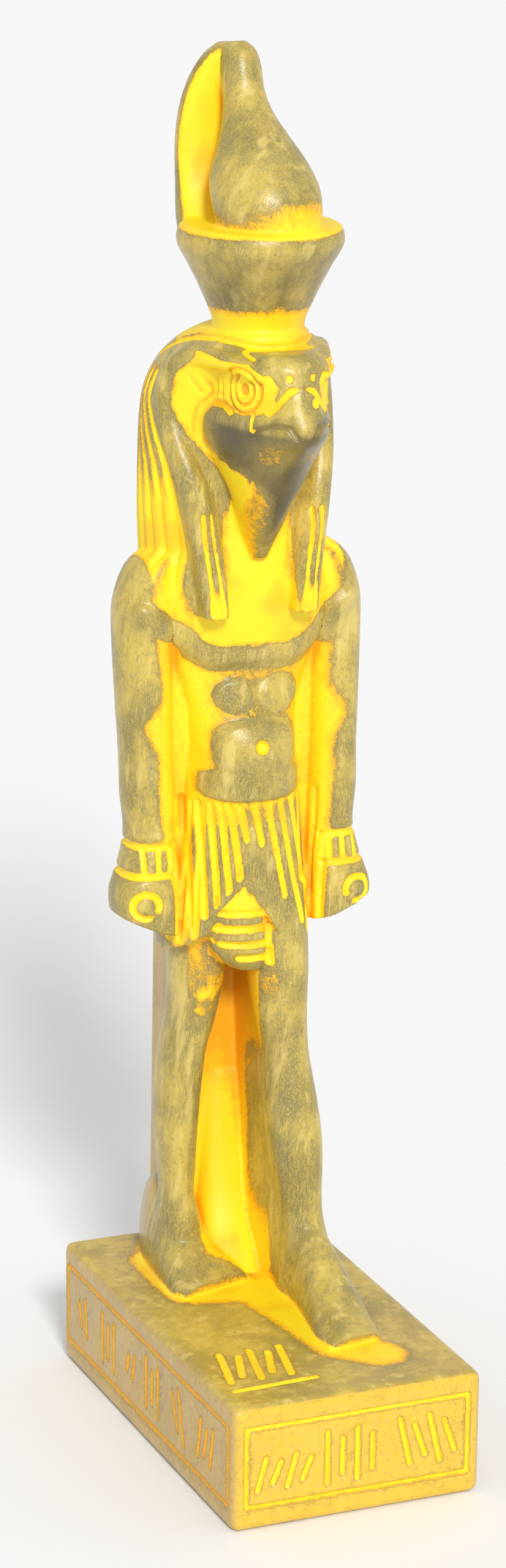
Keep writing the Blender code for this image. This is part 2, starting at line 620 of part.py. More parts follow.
def carve(mesh):
    """Move the surface in and out for the relief."""
    count = len(mesh.vertices)
    spots = np.empty(count * 3)
    mesh.vertices.foreach_get("co", spots)
    spots = spots.reshape(-1, 3)
    normals = np.empty(count * 3)
    mesh.vertex_normals.foreach_get("vector", normals)
    normals = normals.reshape(-1, 3)
    drawn = to_grid(spots)
    height = np.zeros(count)
    for part_relief, low, high in ((plinth_relief, -1, GRID_SOLE + 1), (kilt_relief, 70, 99),
                                   (torso_relief, 96, 130), (arm_relief, 76, 95),
                                   (head_relief, 126, 171)):
        rows = np.flatnonzero((drawn[:, 2] > low) & (drawn[:, 2] < high))
        height[rows] += part_relief(drawn[rows], normals[rows])
    moved = spots + normals * (height * GRID)[:, None]
    mesh.vertices.foreach_set("co", moved.ravel())
    mesh.update()
    return mesh


def fuse(meshes):
    """One object out of all the forms, made one skin by a fine remesh."""
    joined = bmesh.new()
    for mesh in meshes:
        joined.from_mesh(mesh)
        bpy.data.meshes.remove(mesh)
    block = bpy.data.meshes.new("block")
    joined.to_mesh(block)
    joined.free()
    rough = bpy.data.objects.new("rough", block)
    bpy.context.scene.collection.objects.link(rough)
    remesh = rough.modifiers.new("grain", "REMESH")
    remesh.mode = "VOXEL"
    remesh.voxel_size = BLOCK_GRAIN
    soften = rough.modifiers.new("soften", "SMOOTH")
    soften.factor = 0.5
    soften.iterations = 3
    graph = bpy.context.evaluated_depsgraph_get()
    fused = bpy.data.meshes.new_from_object(rough.evaluated_get(graph))
    bpy.data.objects.remove(rough)
    return fused


def finish(mesh, name, material, collection):
    """Thin the mesh to its share of triangles and name the object."""
    figurine = bpy.data.objects.new(name, mesh)
    collection.objects.link(figurine)
    mesh.materials.append(material)
    triangles = sum(len(face.vertices) - 2 for face in mesh.polygons)
    thin = figurine.modifiers.new("thin", "DECIMATE")
    thin.ratio = min(1.0, FINISHED_TRIANGLES / triangles)
    return figurine


def stone():
    material = bpy.data.materials.new("stone")
    material.use_nodes = True
    surface = material.node_tree.nodes["Principled BSDF"]
    surface.inputs["Base Color"].default_value = (0.42, 0.34, 0.10, 1.0)
    surface.inputs["Roughness"].default_value = 0.45
    surface.inputs["Metallic"].default_value = 0.0
    return material


def main():
    for old in list(bpy.data.objects):
        bpy.data.objects.remove(old)
    collection = bpy.data.collections.new("horus_figurine")
    bpy.context.scene.collection.children.link(collection)
    forms = [plinth()]
    for make in (pillar, legs, feet, leg_webs, kilt, tab, torso, arms, arm_webs, wig, face, front_roll, lappets,
                 cup, bulb, spire):
        forms += make()
    finish(carve(fuse(forms)), "figurine", stone(), collection)


main()
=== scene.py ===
"""Finished look of the carved falcon-headed figurine: stone, rubbed pigment, light and camera."""
import json
import math

import bmesh
import bpy
import numpy as np
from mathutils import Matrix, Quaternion, Vector
from mathutils.bvhtree import BVHTree
from mathutils.kdtree import KDTree

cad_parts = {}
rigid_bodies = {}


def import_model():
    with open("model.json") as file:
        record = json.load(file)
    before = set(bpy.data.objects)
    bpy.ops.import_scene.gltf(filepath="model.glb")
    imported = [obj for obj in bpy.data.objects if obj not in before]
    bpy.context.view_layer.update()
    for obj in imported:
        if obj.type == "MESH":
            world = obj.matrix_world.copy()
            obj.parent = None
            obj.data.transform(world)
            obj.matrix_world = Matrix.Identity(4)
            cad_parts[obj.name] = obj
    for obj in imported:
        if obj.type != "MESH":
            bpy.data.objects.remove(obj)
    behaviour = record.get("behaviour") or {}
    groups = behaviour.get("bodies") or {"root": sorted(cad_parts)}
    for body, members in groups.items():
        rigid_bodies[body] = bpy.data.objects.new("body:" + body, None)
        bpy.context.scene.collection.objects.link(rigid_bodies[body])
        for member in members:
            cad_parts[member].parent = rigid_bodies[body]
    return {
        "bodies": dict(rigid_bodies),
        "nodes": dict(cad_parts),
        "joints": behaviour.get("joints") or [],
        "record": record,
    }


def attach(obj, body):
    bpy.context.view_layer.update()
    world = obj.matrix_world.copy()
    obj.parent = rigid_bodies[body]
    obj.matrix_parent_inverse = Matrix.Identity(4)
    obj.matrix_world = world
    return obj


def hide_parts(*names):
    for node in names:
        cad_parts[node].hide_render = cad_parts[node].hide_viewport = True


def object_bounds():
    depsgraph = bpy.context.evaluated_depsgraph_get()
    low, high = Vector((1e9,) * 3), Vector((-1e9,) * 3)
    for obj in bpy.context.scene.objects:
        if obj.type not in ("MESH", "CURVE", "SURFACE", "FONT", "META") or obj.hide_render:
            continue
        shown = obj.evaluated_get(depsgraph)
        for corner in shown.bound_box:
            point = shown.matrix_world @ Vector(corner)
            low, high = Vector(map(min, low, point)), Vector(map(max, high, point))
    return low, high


# Driving sizes, in metres, as in the part's source
PLINTH_WIDTH = 0.040
PLINTH_DEPTH = 0.070
PLINTH_HEIGHT = 0.0196
PLINTH_EDGE = 0.0014
FIGURE_HEIGHT = 0.1908
PILLAR_WIDTH = 0.0116
PILLAR_DEPTH = 0.0110
PILLAR_SETBACK = 0.0006

# Fineness of the carved surface, and the height of its slight wave in grid lines
BLOCK_GRAIN = 0.00028
FINISHED_TRIANGLES = 196000
SOFTENING = 6
HAND_WAVE = 0.014

# Relief, in grid lines
CHEST_RIDGE = ((-17, 127.8), (-14.3, 126.0), (-10.8, 123.6), (-9.0, 121.6), (-6.1, 120.0), (0.5, 120.4),
               (5.0, 119.8), (8.2, 120.2), (11.6, 122.4), (13.6, 125.6), (16, 127.4))
TORSO_PATCHES = (((-3.0, 114.4), (2.8, 2.3), 2.0), ((4.4, 114.2), (3.1, 2.5), 2.0),
                 ((0, 106.6), (6.0, 3.7), 3.5), ((-0.3, 101.1), (7.2, 2.3), 4.0))
NAVEL = (0.2, 106.9)
NAVEL_HALF = (0.9, 0.9)
EYE = (6.15, -1.9, 162.9)
EYE_TURN = math.radians(22.8)
BROW = ((-6.9, 164.2), (-5.9, 165.7), (-3.0, 166.7), (1.2, 166.6), (3.9, 167.0), (6.6, 167.3))
CURL = ((0, 159.4), (2, 160.2), (5, 160.0), (6.6, 158.4), (7.3, 155.7), (7.3, 152.8), (6.0, 151.4))
HEM = ((-12, 74.5), (-10, 75.0), (-7.5, 77.3), (-6.2, 80.4), (-2.0, 85.3), (0.9, 81.3), (4.1, 76.6),
       (6.0, 75.1), (9.8, 73.8), (12, 73.8))
HEM_BASE = 73.5
STROKE_WIDTH = 0.7
STROKE_DEPTH = 0.5
STROKE_STEP = 2.4
PLEATS = 5
PLEAT_WIDTH = 0.62
PLEAT_TOP = 98.2
PLEAT_LEAN = 0.24
PLEAT_LENGTHS = (5.8, 6.6, 15.5, 20.0, 18.5)
SASH_STRIPES = ((-4.9, 1.6, 81.0), (-5.6, 1.8, 78.5), (-5.0, 2.2, 75.9), (-2.4, 2.8, 73.5))
HAIR_LINE = ((18.8, 164.7), (15, 167), (10.6, 168.4), (5.6, 169), (1.7, 168.7), (-0.4, 168), (-2.6, 167.5),
             (-3.7, 167.4))
TEAR = ((-4.3, 159.8), (-4.3, 157.4))
NOSTRIL = ((-6.7, 159.9), (-7.6, 161.5), (-8.5, 163.8))
MOUTH = ((-4.3, 157.0), (-5.9, 157.9), (-7.8, 158.6), (-9.6, 158.4), (-10.4, 156.9))
FEATHERS = 4
STRANDS = 13
WIG_MIDDLE = 17.2
WIG_HALF = 12.5
WIG_REAR = 28.4
BRACELET = (87.6, 91.9)
BRACELET_BARS = (13.0, 15.0, 17.2)
FIST = (17.2, 83.2)
HAND_LOW = 77.6
HAND_SLOPE = 0.42
LEFT_ARM_DROP = 0.03

# Groups of strokes on the plinth: place along the side, height, count and lean
FRONT_STROKES = ((-0.66, (2.4, 5.0), 4, 0.7), (-0.07, (1.8, 2.4), 4, 0.0), (0.63, (2.6, 2.2), 4, -0.9))
SIDE_STROKES = ((0.80, 0.7, 2, 0.5), (0.47, 1.0, 3, 0.0), (0.18, 0.5, 2, -0.4), (-0.09, 1.0, 3, 0.0),
                (-0.41, 1.0, 2, 1.2), (-0.74, 0.8, 3, -0.6))
SIDE_STROKE_GAP = 4.4
TOP_STROKES = (-10.4, 7.4, 17.6, 5, 1.1)
TOP_BAR = ((-17.0, 4.4), (-3.8, 5.0))

# Border sunk into the plinth's sides, in metres
BORDER_MARGIN = 0.0022
BORDER_FOOT = 0.0038
BORDER_HEAD = 0.0034
BORDER_WIDTH = 0.6

# The figure is drawn on a grid: its soles, its pillar's back and its crown's top are on these lines
GRID_SOLE = 19.6
GRID_BACK = 34.4
GRID_TOP = 210.4
GRID = FIGURE_HEIGHT / (GRID_TOP - GRID_SOLE)
BACK = PLINTH_DEPTH / 2 - PILLAR_SETBACK
SIDES = 48
EMBED = 4.0

# Camera: azimuth and elevation in degrees, distance and target in metres
CAMERA_AZIMUTH = -23.1
CAMERA_ELEVATION = 16.6
CAMERA_ROLL = 0.74
CAMERA_DISTANCE = 0.679
CAMERA_TARGET = (-0.0033, 0.0, 0.1030)
CAMERA_LENS = 105.5
CAMERA_SENSOR = 36

# Hollowness: reaches in metres, counts of rays, and the turn from ray to ray
SKIN_GAP = 0.00006
NEAR_REACH = 0.0018
FAR_REACH = 0.0075
RAYS = 20
RAY_TURN = 2.399963

# Places that the pigment follows, in grid lines
SPECKLED = ((0.8, 114.6), (6.0, 7.0))
NAVEL_POOL = (1.25, 1.25)
TAB_BARE = ((-1, 75), (5.4, 6.5))
KNEE_MARKS = ((-5.2, 66.3), (-5.6, 63.7))
KNEE_NICK = (6.8, 62.2)
CUP_SMUDGES = (-7.0, -0.6, 5.4)
BULB_POOL = ((2.2, 187.0), (6.4, 2.4))
THROAT_PATCH = ((3.4, 153.6), (2.7, 3.2))
FOREHEAD_DOTS = ((-1.8, 165.2), (2.0, 165.2), (2.1, 161.6))
DOT_HALF = (0.6, 0.6)
CURL_TOP = ((-12, 161), (-6.7, 160), (-4.3, 159.6), (-1, 159.4), (2, 159.7), (5, 159.4), (6.6, 158),
            (7.3, 155.7))
CURL_BACK = ((150, 4.6), (151.4, 5.6), (152.8, 6.9), (155.7, 6.9), (158.4, 6.2), (160, 4.8))
JAW = ((0.4, 140.5), (1.2, 145.6), (3, 147.6), (4.4, 149), (5.9, 150.1), (6.6, 150.6), (7.3, 151.6),
       (9.5, 153))
BIB_HALF = ((135.6, 1.2), (139.7, 3.4), (144.4, 5.6), (149, 7.6), (151, 8.4))
TEMPLE_EDGE = ((160, 4.0), (165, 3.0))
ARM_EDGE = ((76, 12.0), (84, 12.6), (88, 13.2), (92, 13.8), (96, 14.5), (100.8, 14.9), (105.4, 14.4),
            (110.3, 17.4), (114.6, 13.7), (118.5, 14.3), (123, 15.0), (127, 15.6))
FOOT_HALO = ((-9.5, 22), (-9.0, 8), (0.5, 5.5), (2.6, -6), (4.2, -19), (8.4, -23.6))

# How hollows and grooves hold the pigment
NEAR_HOLD = 1.7
FAR_HOLD = 1.5
GROOVE_HOLD = 1.7
GROOVE_DEPTH = 0.35
RIDGE_LOSS = 0.8
RIDGE_HEIGHT = 0.5

# Levels of pigment at which its rim (partly painted shade), its film and its full cover start and end, the
# levels at which hollows take painted shade, and the noise on them
RIM_EDGE_AND_SHADE = (0.08, 0.40)
FILM = (0.36, 0.50)
COVER = (0.46, 0.60)
THICK = (0.52, 1.05)
HOLLOW_SHADE = (0.30, 1.0)
SPREAD = 0.75
SPECKLE = 0.75

# Gloss and fine bump of the stone
POLISH = 0.17
POLISH_SPECKLE = 0.15
PIGMENT_DULLNESS = 0.22
BUMP_STRENGTH = 0.4
BUMP_DEPTH = 0.00012

# Colours, as linear shares of red, green and blue
OLIVE = (0.290, 0.222, 0.050)
KHAKI = (0.560, 0.410, 0.075)
SLATE = (0.165, 0.160, 0.085)
PALE = (0.740, 0.580, 0.180)
SCRATCH = (0.900, 0.680, 0.090)
# Charcoal is the dark of nicks, lines and smudges, and also painted shade on the chin and throat
CHARCOAL_AND_SHADE = (0.060, 0.046, 0.022)
# Umber is the darker rim of the stone next to the pigment: partly its dark edge, partly painted shade towards
# the hollows
UMBER_EDGE_AND_SHADE = (0.170, 0.130, 0.045)
BROWN = (0.420, 0.270, 0.070)
# Golden is painted light on faces turned to the front; the next colour is painted shade on faces turned
# sideways
LIT_FACE_GOLDEN = (0.900, 0.560, 0.030)
SHADED_SIDE_LILAC = (0.590, 0.380, 0.125)
OCHRE = (0.640, 0.370, 0.020)
YELLOW = (1.000, 0.760, 0.010)
# Orange is the pigment's own tone where it is thin, and also painted shade in hollows and creases
ORANGE_AND_SHADE = (0.940, 0.420, 0.006)

# Floor and light
FLOOR_HALF = 4.0
FLOOR_GREY = 0.9
FLOOR_ROUGHNESS = 0.8
ROOM_LIGHT = 0.68
SUN_AZIMUTH = -12
SUN_ELEVATION = 34
SUN_SPREAD = 11
SUN_POWER = 2.1


def to_metres(points):
    """Grid points, x to the figure's left and z up, as metres in the plinth's frame."""
    points = np.asarray(points, float)
    shifted = points - np.array([0.0, GRID_BACK, GRID_SOLE])
    return shifted * GRID + np.array([0.0, BACK, PLINTH_HEIGHT])


def to_grid(points):
    """Metres in the plinth's frame as grid points."""
    shifted = np.asarray(points, float) - np.array([0.0, BACK, PLINTH_HEIGHT])
    return shifted / GRID + np.array([0.0, GRID_BACK, GRID_SOLE])


def smooth_rows(rows, steps):
    """Rows of section sizes, filled in with a smooth curve through each column."""
    rows = np.asarray(rows, float)
    padded = np.vstack([2 * rows[0] - rows[1], rows, 2 * rows[-1] - rows[-2]])
    out = []
    for i in range(len(rows) - 1):
        a, b, c, d = padded[i:i + 4]
        for k in range(steps):
            t = k / steps
            out.append(0.5 * (2 * b + (c - a) * t + (2 * a - 5 * b + 4 * c - d) * t * t
                              + (3 * b - a - 3 * c + d) * t ** 3))
    out.append(rows[-1])
    return np.array(out)


def skin(rings):
    """Closed mesh over a stack of rings with equal counts."""
    count = len(rings[0])
    verts = [tuple(p) for ring in rings for p in ring]
    faces = []
    for r in range(len(rings) - 1):
        for k in range(count):
            a = r * count + k
            b = r * count + (k + 1) % count
            faces.append((a, b, b + count, a + count))
    faces.append(tuple(range(count - 1, -1, -1)))
    faces.append(tuple(range((len(rings) - 1) * count, len(rings) * count)))
    mesh = bpy.data.meshes.new("form")
    mesh.from_pydata(verts, [], faces)
    mesh.update()
    shell = bmesh.new()
    shell.from_mesh(mesh)
    bmesh.ops.recalc_face_normals(shell, faces=shell.faces)
    shell.to_mesh(mesh)
    shell.free()
    return mesh


def oval(half_a, half_b, power):
    """Superellipse points; power 2 is an ellipse and higher powers are squarer."""
    turn = np.linspace(0, 2 * math.pi, SIDES, endpoint=False)
    cos, sin = np.cos(turn), np.sin(turn)
    return (half_a * np.sign(cos) * np.abs(cos) ** (2 / power),
            half_b * np.sign(sin) * np.abs(sin) ** (2 / power))


def upright(rows, steps=5, shape=None):
    """Loft of level sections: z, centre x, centre y, half width, half depth, power."""
    rings = []
    for z, x, y, wide, deep, power in smooth_rows(rows, steps):
        u, v = oval(wide, deep, power)
        ring = np.stack([x + u, y + v, np.full(SIDES, z)], -1)
        rings.append(to_metres(shape(ring) if shape else ring))
    return skin(rings)


def lengthwise(rows, steps=5, shape=None):
    """Loft of sections that face forward: y, centre x, centre z, half width, half height, power."""
    rings = []
    for y, x, z, wide, high, power in smooth_rows(rows, steps):
        u, v = oval(wide, high, power)
        ring = np.stack([x + u, np.full(SIDES, y), z + v], -1)
        rings.append(to_metres(shape(ring) if shape else ring))
    return skin(rings)


def tilted(rows, steps=5):
    """Loft of round sections that tip forward: centre y, centre z, radius, tilt in degrees."""
    rings = []
    for y, z, radius, tilt in smooth_rows(rows, steps):
        u, v = oval(radius, radius, 2)
        lean = math.radians(tilt)
        rings.append(to_metres(np.stack([u, y + v * math.cos(lean), z + v * math.sin(lean)], -1)))
    return skin(rings)


def tube(path, steps=4):
    """Round bar along a path of x, y, z and radius."""
    rows = smooth_rows(path, steps)
    spots, radii = rows[:, :3], rows[:, 3]
    rings = []
    for spot, radius, way in zip(spots, radii, np.gradient(spots, axis=0)):
        way = way / np.linalg.norm(way)
        across = np.cross(way, (0.31, 0.9, 0.28))
        across /= np.linalg.norm(across)
        up = np.cross(way, across)
        u, v = oval(radius, radius, 2)
        rings.append(to_metres(spot + u[:, None] * across + v[:, None] * up))
    return skin(rings)


def block(size, middle, edge=0.0):
    """Box of a size round its middle, in metres, with rounded edges where asked."""
    form = bmesh.new()
    bmesh.ops.create_cube(form, size=1.0)
    bmesh.ops.scale(form, vec=Vector(size), verts=form.verts)
    bmesh.ops.translate(form, vec=Vector(middle), verts=form.verts)
    if edge:
        bmesh.ops.bevel(form, geom=form.edges[:], offset=edge, segments=4, profile=0.5, affect="EDGES")
    mesh = bpy.data.meshes.new("form")
    form.to_mesh(mesh)
    form.free()
    return mesh


def box(low, high):
    """Box between two grid corners."""
    low, high = to_metres(low), to_metres(high)
    return block(high - low, (high + low) / 2)


def plinth():
    """Oblong plinth with rounded edges."""
    return [block((PLINTH_WIDTH, PLINTH_DEPTH, PLINTH_HEIGHT), (0, 0, PLINTH_HEIGHT / 2), PLINTH_EDGE)]


def pillar():
    """Back pillar, a little wider at its foot."""
    half = PILLAR_WIDTH / 2 / GRID
    middle = GRID_BACK - PILLAR_DEPTH / 2 / GRID
    deep = PILLAR_DEPTH / 2 / GRID
    return [upright([(GRID_SOLE - EMBED, 0, middle, half + 0.6, deep + 0.2, 12),
                     (24, 0, middle, half + 0.2, deep, 12), (60, 0, middle - 0.2, half, deep, 12),
                     (110, 0, middle - 1.0, half, deep, 12),
                     (150, 0, middle - 2.4, half - 0.2, deep - 0.6, 12)])]


def legs():
    """Right leg set back, and left leg a step forward."""
    right = [(84, -4.8, 17.4, 4.6, 6.0, 2.2), (71, -4.9, 17.4, 4.3, 5.4, 2.2),
             (62, -5.9, 17.4, 3.7, 4.8, 2.2), (56, -7.2, 17.6, 3.4, 4.8, 2.2),
             (45, -8.0, 18.0, 3.2, 5.0, 2.2), (37, -7.8, 18.0, 2.7, 4.2, 2.2),
             (33, -7.8, 17.8, 2.5, 3.9, 2.2), (28, -7.5, 18.0, 3.3, 5.0, 2.2),
             (GRID_SOLE - EMBED, -7.1, 18.8, 4.6, 6.8, 2.2)]
    left = [(84, 5.6, 13.4, 5.0, 6.4, 2.2), (71, 5.9, 11.4, 4.6, 5.4, 2.2),
            (65, 5.9, 10.4, 4.1, 5.0, 2.2), (58, 6.1, 8.8, 3.5, 4.6, 2.2),
            (50, 6.5, 7.2, 4.0, 5.0, 2.2), (43, 6.9, 6.0, 4.1, 5.0, 2.2),
            (33, 7.5, 4.8, 3.2, 4.0, 2.2), (27, 7.8, 3.6, 3.6, 4.6, 2.2),
            (GRID_SOLE - EMBED, 7.8, 2.8, 4.6, 6.0, 2.2)]
    return [upright(right), upright(left)]


def feet():
    """Wedge-shaped feet; the soles are inside the plinth."""
    floor = GRID_SOLE - EMBED / 2

    def on_plinth(ring):
        x, y, z = ring.T
        return np.stack([x, y, np.maximum(z, floor)], -1)

    right = [(30, -6.6, 31, 3.0), (25, -7.2, 33, 3.8), (19, -7.4, 31, 4.4), (14, -6.8, 26.6, 5.4),
             (10, -5.6, 23.4, 6.9), (7.6, -5.1, 21.6, 7.5)]
    left = [(9, 7.6, 30, 3.4), (4, 7.8, 32, 3.9), (-2, 7.9, 29.6, 4.2), (-8, 7.6, 26, 4.9),
            (-14, 6.9, 23, 5.5), (-19.4, 6.4, 21.2, 5.6)]
    forms = []
    for rows, slant in ((right, 0.30), (left, 0.18)):
        sections = [(y, x, floor, wide, top - floor, 2.4) for y, x, top, wide in rows]
        forms.append(lengthwise(sections, shape=lambda ring: on_plinth(skew(ring, slant))))
    return forms


def skew(ring, slant):
    """Turn a forward section a little, so that its inner side lies further back."""
    x, y, z = ring.T
    return np.stack([x, y + slant * (x - x.mean()), z], -1)


def leg_webs():
    """Stone left between the pillar and the legs, with a sloping fill at the foot."""
    left_web = upright([(GRID_SOLE - EMBED, 7.6, 15.0, 3.4, 11.0, 8), (40, 7.2, 16.4, 3.2, 9.6, 8),
                        (60, 6.4, 17.6, 3.2, 8.0, 8), (80, 5.8, 18.0, 3.4, 8.0, 8)])
    back_web = box((-7.4, 21.5, GRID_SOLE - EMBED), (8.0, 26, 86))
    fill = upright([(GRID_SOLE - EMBED, 1.0, 18.0, 6.4, 10.0, 2.4),
                    (GRID_SOLE + 3, 1.2, 19.5, 5.4, 6.4, 2.4), (28, 1.4, 21.5, 4.6, 4.4, 2.4),
                    (36, 1.6, 22.5, 4.0, 3.2, 2.4), (50, 2.0, 23.5, 3.6, 2.4, 2.4)])
    return [left_web, back_web, fill]


def kilt():
    """Wrapped kilt whose two panels are rounded at the hem and cut away over the sash end."""
    def hem(ring):
        x, y, z = ring.T
        front = np.clip((15 - y) / 4, 0, 1)
        rise = (curve_at(x, HEM) - HEM_BASE) * front
        low = np.clip((88 - z) / (88 - HEM_BASE), 0, 1)
        return np.stack([x, y, z + rise * low], -1)

    return [upright([(103, 0, 15.4, 9.0, 10.0, 2.4), (98, 0, 15.4, 9.4, 10.2, 2.4),
                     (90, 0, 15.4, 10.2, 9.8, 2.4), (82, 0, 15.4, 11.0, 9.6, 2.4),
                     (76, 0, 15.6, 11.6, 9.6, 2.4),
                     (HEM_BASE, 0, 15.6, 11.5, 9.4, 2.4)], steps=8, shape=hem)]


def tab():
    """Striped end of the sash that hangs between the kilt's panels."""
    return [upright([(87, -1.3, 9.8, 0.8, 4.0, 2.2), (84, -1.4, 9.6, 2.6, 4.2, 2.2),
                     (80, -1.6, 9.6, 4.3, 4.2, 2.2), (76, -1.2, 9.8, 4.8, 4.2, 2.2),
                     (73, -0.4, 10.4, 4.2, 4.0, 2.2), (71, 0.6, 11.0, 2.8, 3.6, 2.2)])]


def torso():
    """Body from the waist to the neck, broad at the shoulders."""
    return [upright([(96, 0, 15.4, 9.0, 10.2, 2.3), (101, 0, 15.4, 8.8, 10.8, 2.3),
                     (107, 0, 15.4, 8.6, 10.4, 2.3), (112, 0, 15.6, 9.2, 8.4, 2.3),
                     (118, 0, 15.8, 11.4, 7.2, 2.3), (124, 0, 15.8, 13.6, 8.2, 2.4),
                     (130, 0, 15.8, 14.8, 9.2, 2.4), (135, 0, 16.0, 13.6, 9.2, 2.4),
                     (141, 0, 16.0, 9.6, 8.6, 2.3)])]


def arms():
    """Arms held at the sides; the figure's left arm is carved a little lower."""
    def hand_cut(ring):
        """The hands end in a slanting cut."""
        x, y, z = ring.T
        return np.stack([x, y, np.maximum(z, HAND_LOW + HAND_SLOPE * (np.abs(x) - 12))], -1)

    rows = [(136.2, 11.6, 15.4, 2.4, 3.4, 2.2), (133.6, 13.2, 15.2, 4.2, 5.0, 2.2),
            (128.5, 14.9, 15.0, 4.5, 5.4, 2.2), (123, 15.4, 14.8, 4.2, 5.2, 2.2),
            (112, 15.2, 14.2, 4.0, 5.0, 2.2), (106, 15.1, 13.8, 3.8, 4.8, 2.2),
            (99, 14.9, 13.4, 3.9, 4.8, 2.2), (93.5, 14.6, 13.2, 3.7, 4.6, 2.2),
            (89, 14.9, 12.8, 4.2, 4.9, 2.4), (84.5, 15.7, 12.4, 4.9, 5.4, 2.6),
            (81.0, 15.6, 12.4, 4.9, 5.4, 2.6), (76, 15.4, 12.4, 4.6, 5.2, 2.6)]
    forms = []
    for side, drop in ((-1, 0.0), (1, LEFT_ARM_DROP)):
        lowered = [(z - drop * (134 - z), side * x, *rest) for z, x, *rest in rows]
        forms.append(upright(lowered, shape=hand_cut))
    return forms


def arm_webs():
    """Stone left between the arms and the body, with its lower edge cut on a slant."""
    def slant(ring):
        x, y, z = ring.T
        low = np.clip((86 - z) / 10, 0, 1)
        return np.stack([x, y, z + low * HAND_SLOPE * np.abs(x)], -1)

    return [upright([(134, 0, 18.0, 12.0, 5.4, 8), (110, 0, 18.0, 14.6, 5.4, 8),
                     (90, 0, 18.0, 14.4, 5.4, 8), (72.8, 0, 18.0, 13.4, 5.4, 8)], steps=8, shape=slant)]


def wig():
    """Rounded wig that falls behind the shoulders."""
    return [upright([(129, 0, 18.6, 13.0, 8.4, 2.2), (136, 0, 17.6, 14.2, 10.0, 2.2),
                     (146, 0, 17.2, 14.5, 10.4, 2.2), (155, 0, 16.8, 14.4, 10.6, 2.2),
                     (160, 0, 16.0, 13.9, 10.8, 2.2), (164, 0, 14.4, 12.4, 11.2, 2.2),
                     (167, 0, 12.0, 10.2, 11.2, 2.2), (169.2, 0, 9.6, 7.8, 9.2, 2.2),
                     (170.6, 0, 8.2, 5.4, 6.6, 2.2)])]


def face():
    """Falcon's head: flat forehead, hooked beak, full cheeks and a throat that narrows to a point."""
    sections = [(135.6, 5.6, 6.6, 1.2, 1.9), (139, 2.8, 8.0, 2.6, 1.9), (143, -0.2, 8.0, 4.0, 1.9),
                (147, -3.0, 8.0, 5.4, 1.9), (151, -5.8, 8.0, 7.2, 1.8), (154, -8.4, 8.0, 8.7, 1.7),
                (156, -10.7, 8.0, 9.2, 1.65), (158, -10.8, 8.0, 9.3, 1.7), (161, -9.6, 8.0, 8.2, 1.85),
                (164, -8.6, 8.0, 7.6, 2.1), (166.6, -7.8, 8.0, 7.4, 2.4), (168.2, -6.2, 8.0, 6.4, 2.4)]
    return [upright([(z, 0, middle, wide, middle - front, power)
                     for z, front, middle, wide, power in sections])]


def front_roll():
    """Raised edge of the wig, from the brow round the side of the face down to the lappet's end."""
    path = [(4.6, -5.8, 165.2, 0.9), (6.2, -2.4, 165.8, 1.1), (7.8, 2.6, 166.4, 1.4), (9.7, 8.6, 166.0, 1.7),
            (11.3, 12.6, 163.2, 1.9), (12.1, 13.2, 159, 1.9), (11.7, 11.4, 154, 1.9), (10.7, 9.2, 149.4, 2.0),
            (9.6, 7.7, 144.6, 2.1), (8.6, 6.8, 139, 2.1), (7.7, 6.4, 133, 2.1), (7.1, 6.2, 127.4, 2.0)]
    return [tube([(side * x, y, z, radius) for x, y, z, radius in path]) for side in (-1, 1)]


def lappets():
    """Ends of the wig that lie on the chest."""
    rows = [(152, 9.0, 14.2, 2.8, 5.0, 2.4), (146, 8.8, 12.2, 3.0, 5.0, 2.4), (140, 8.2, 9.8, 2.6, 4.4, 2.4),
            (133, 7.5, 8.0, 2.3, 3.8, 2.4), (127.3, 7.1, 6.9, 2.1, 3.1, 2.8)]
    return [upright([(z, side * x, *rest) for z, x, *rest in rows]) for side in (-1, 1)]


def cup():
    """Flaring base of the double crown, with a rounded lip."""
    return [tilted([(8.6, 165.0, 8.4, 0), (8.0, 170.0, 6.7, 0),
                    (7.8, 174.5, 8.2, 0), (7.7, 179.0, 10.4, 0),
                    (7.6, 182.4, 12.2, 0), (7.6, 184.6, 11.9, 0),
                    (7.6, 185.2, 11.0, 0)])]


def bulb():
    """Pear-shaped tall crown that leans back against the spire."""
    return [tilted([(4.4, 182.0, 6.8, 4), (4.6, 186.0, 7.7, 0),
                    (6.0, 189.6, 8.0, -8), (8.4, 192.8, 7.2, -16),
                    (10.6, 196.2, 5.4, -22), (12.7, 199.4, 3.9, -26),
                    (14.4, 202.8, 3.1, -20), (15.6, 206.4, 3.0, -14),
                    (16.2, 208.8, 2.4, -10), (16.5, 210.2, 1.0, -8)])]


def spire():
    """Flat upright at the back of the crown that grows out of the cup's rim."""
    return [upright([(181, 0, 13.6, 9.6, 5.0, 2.8), (185, 0, 16.8, 9.2, 3.8, 2.8),
                     (190, 0, 19.0, 8.6, 2.8, 2.8), (196, -0.6, 19.8, 7.8, 2.3, 2.8),
                     (201, -1.2, 19.9, 6.4, 2.3, 2.8), (205, -1.4, 19.6, 4.8, 2.3, 2.6),
                     (208, -1.2, 19.0, 3.2, 2.2, 2.6), (209.8, -0.8, 18.4, 1.6, 1.6, 2.4)])]


def distance(points, line):
    """Distance of flat points from a drawn line of straight runs."""
    nearest = np.full(len(points), 1e6)
    line = np.asarray(line, float)
    for start, end in zip(line[:-1], line[1:]):
        along = end - start
        share = np.clip((points - start) @ along / max(along @ along, 1e-9), 0, 1)
        nearest = np.minimum(nearest, np.linalg.norm(points - (start + share[:, None] * along), axis=1))
    return nearest


def curve_at(value, line):
    """Second value of a drawn line at a place given by its first."""
    return np.interp(value, *zip(*line))


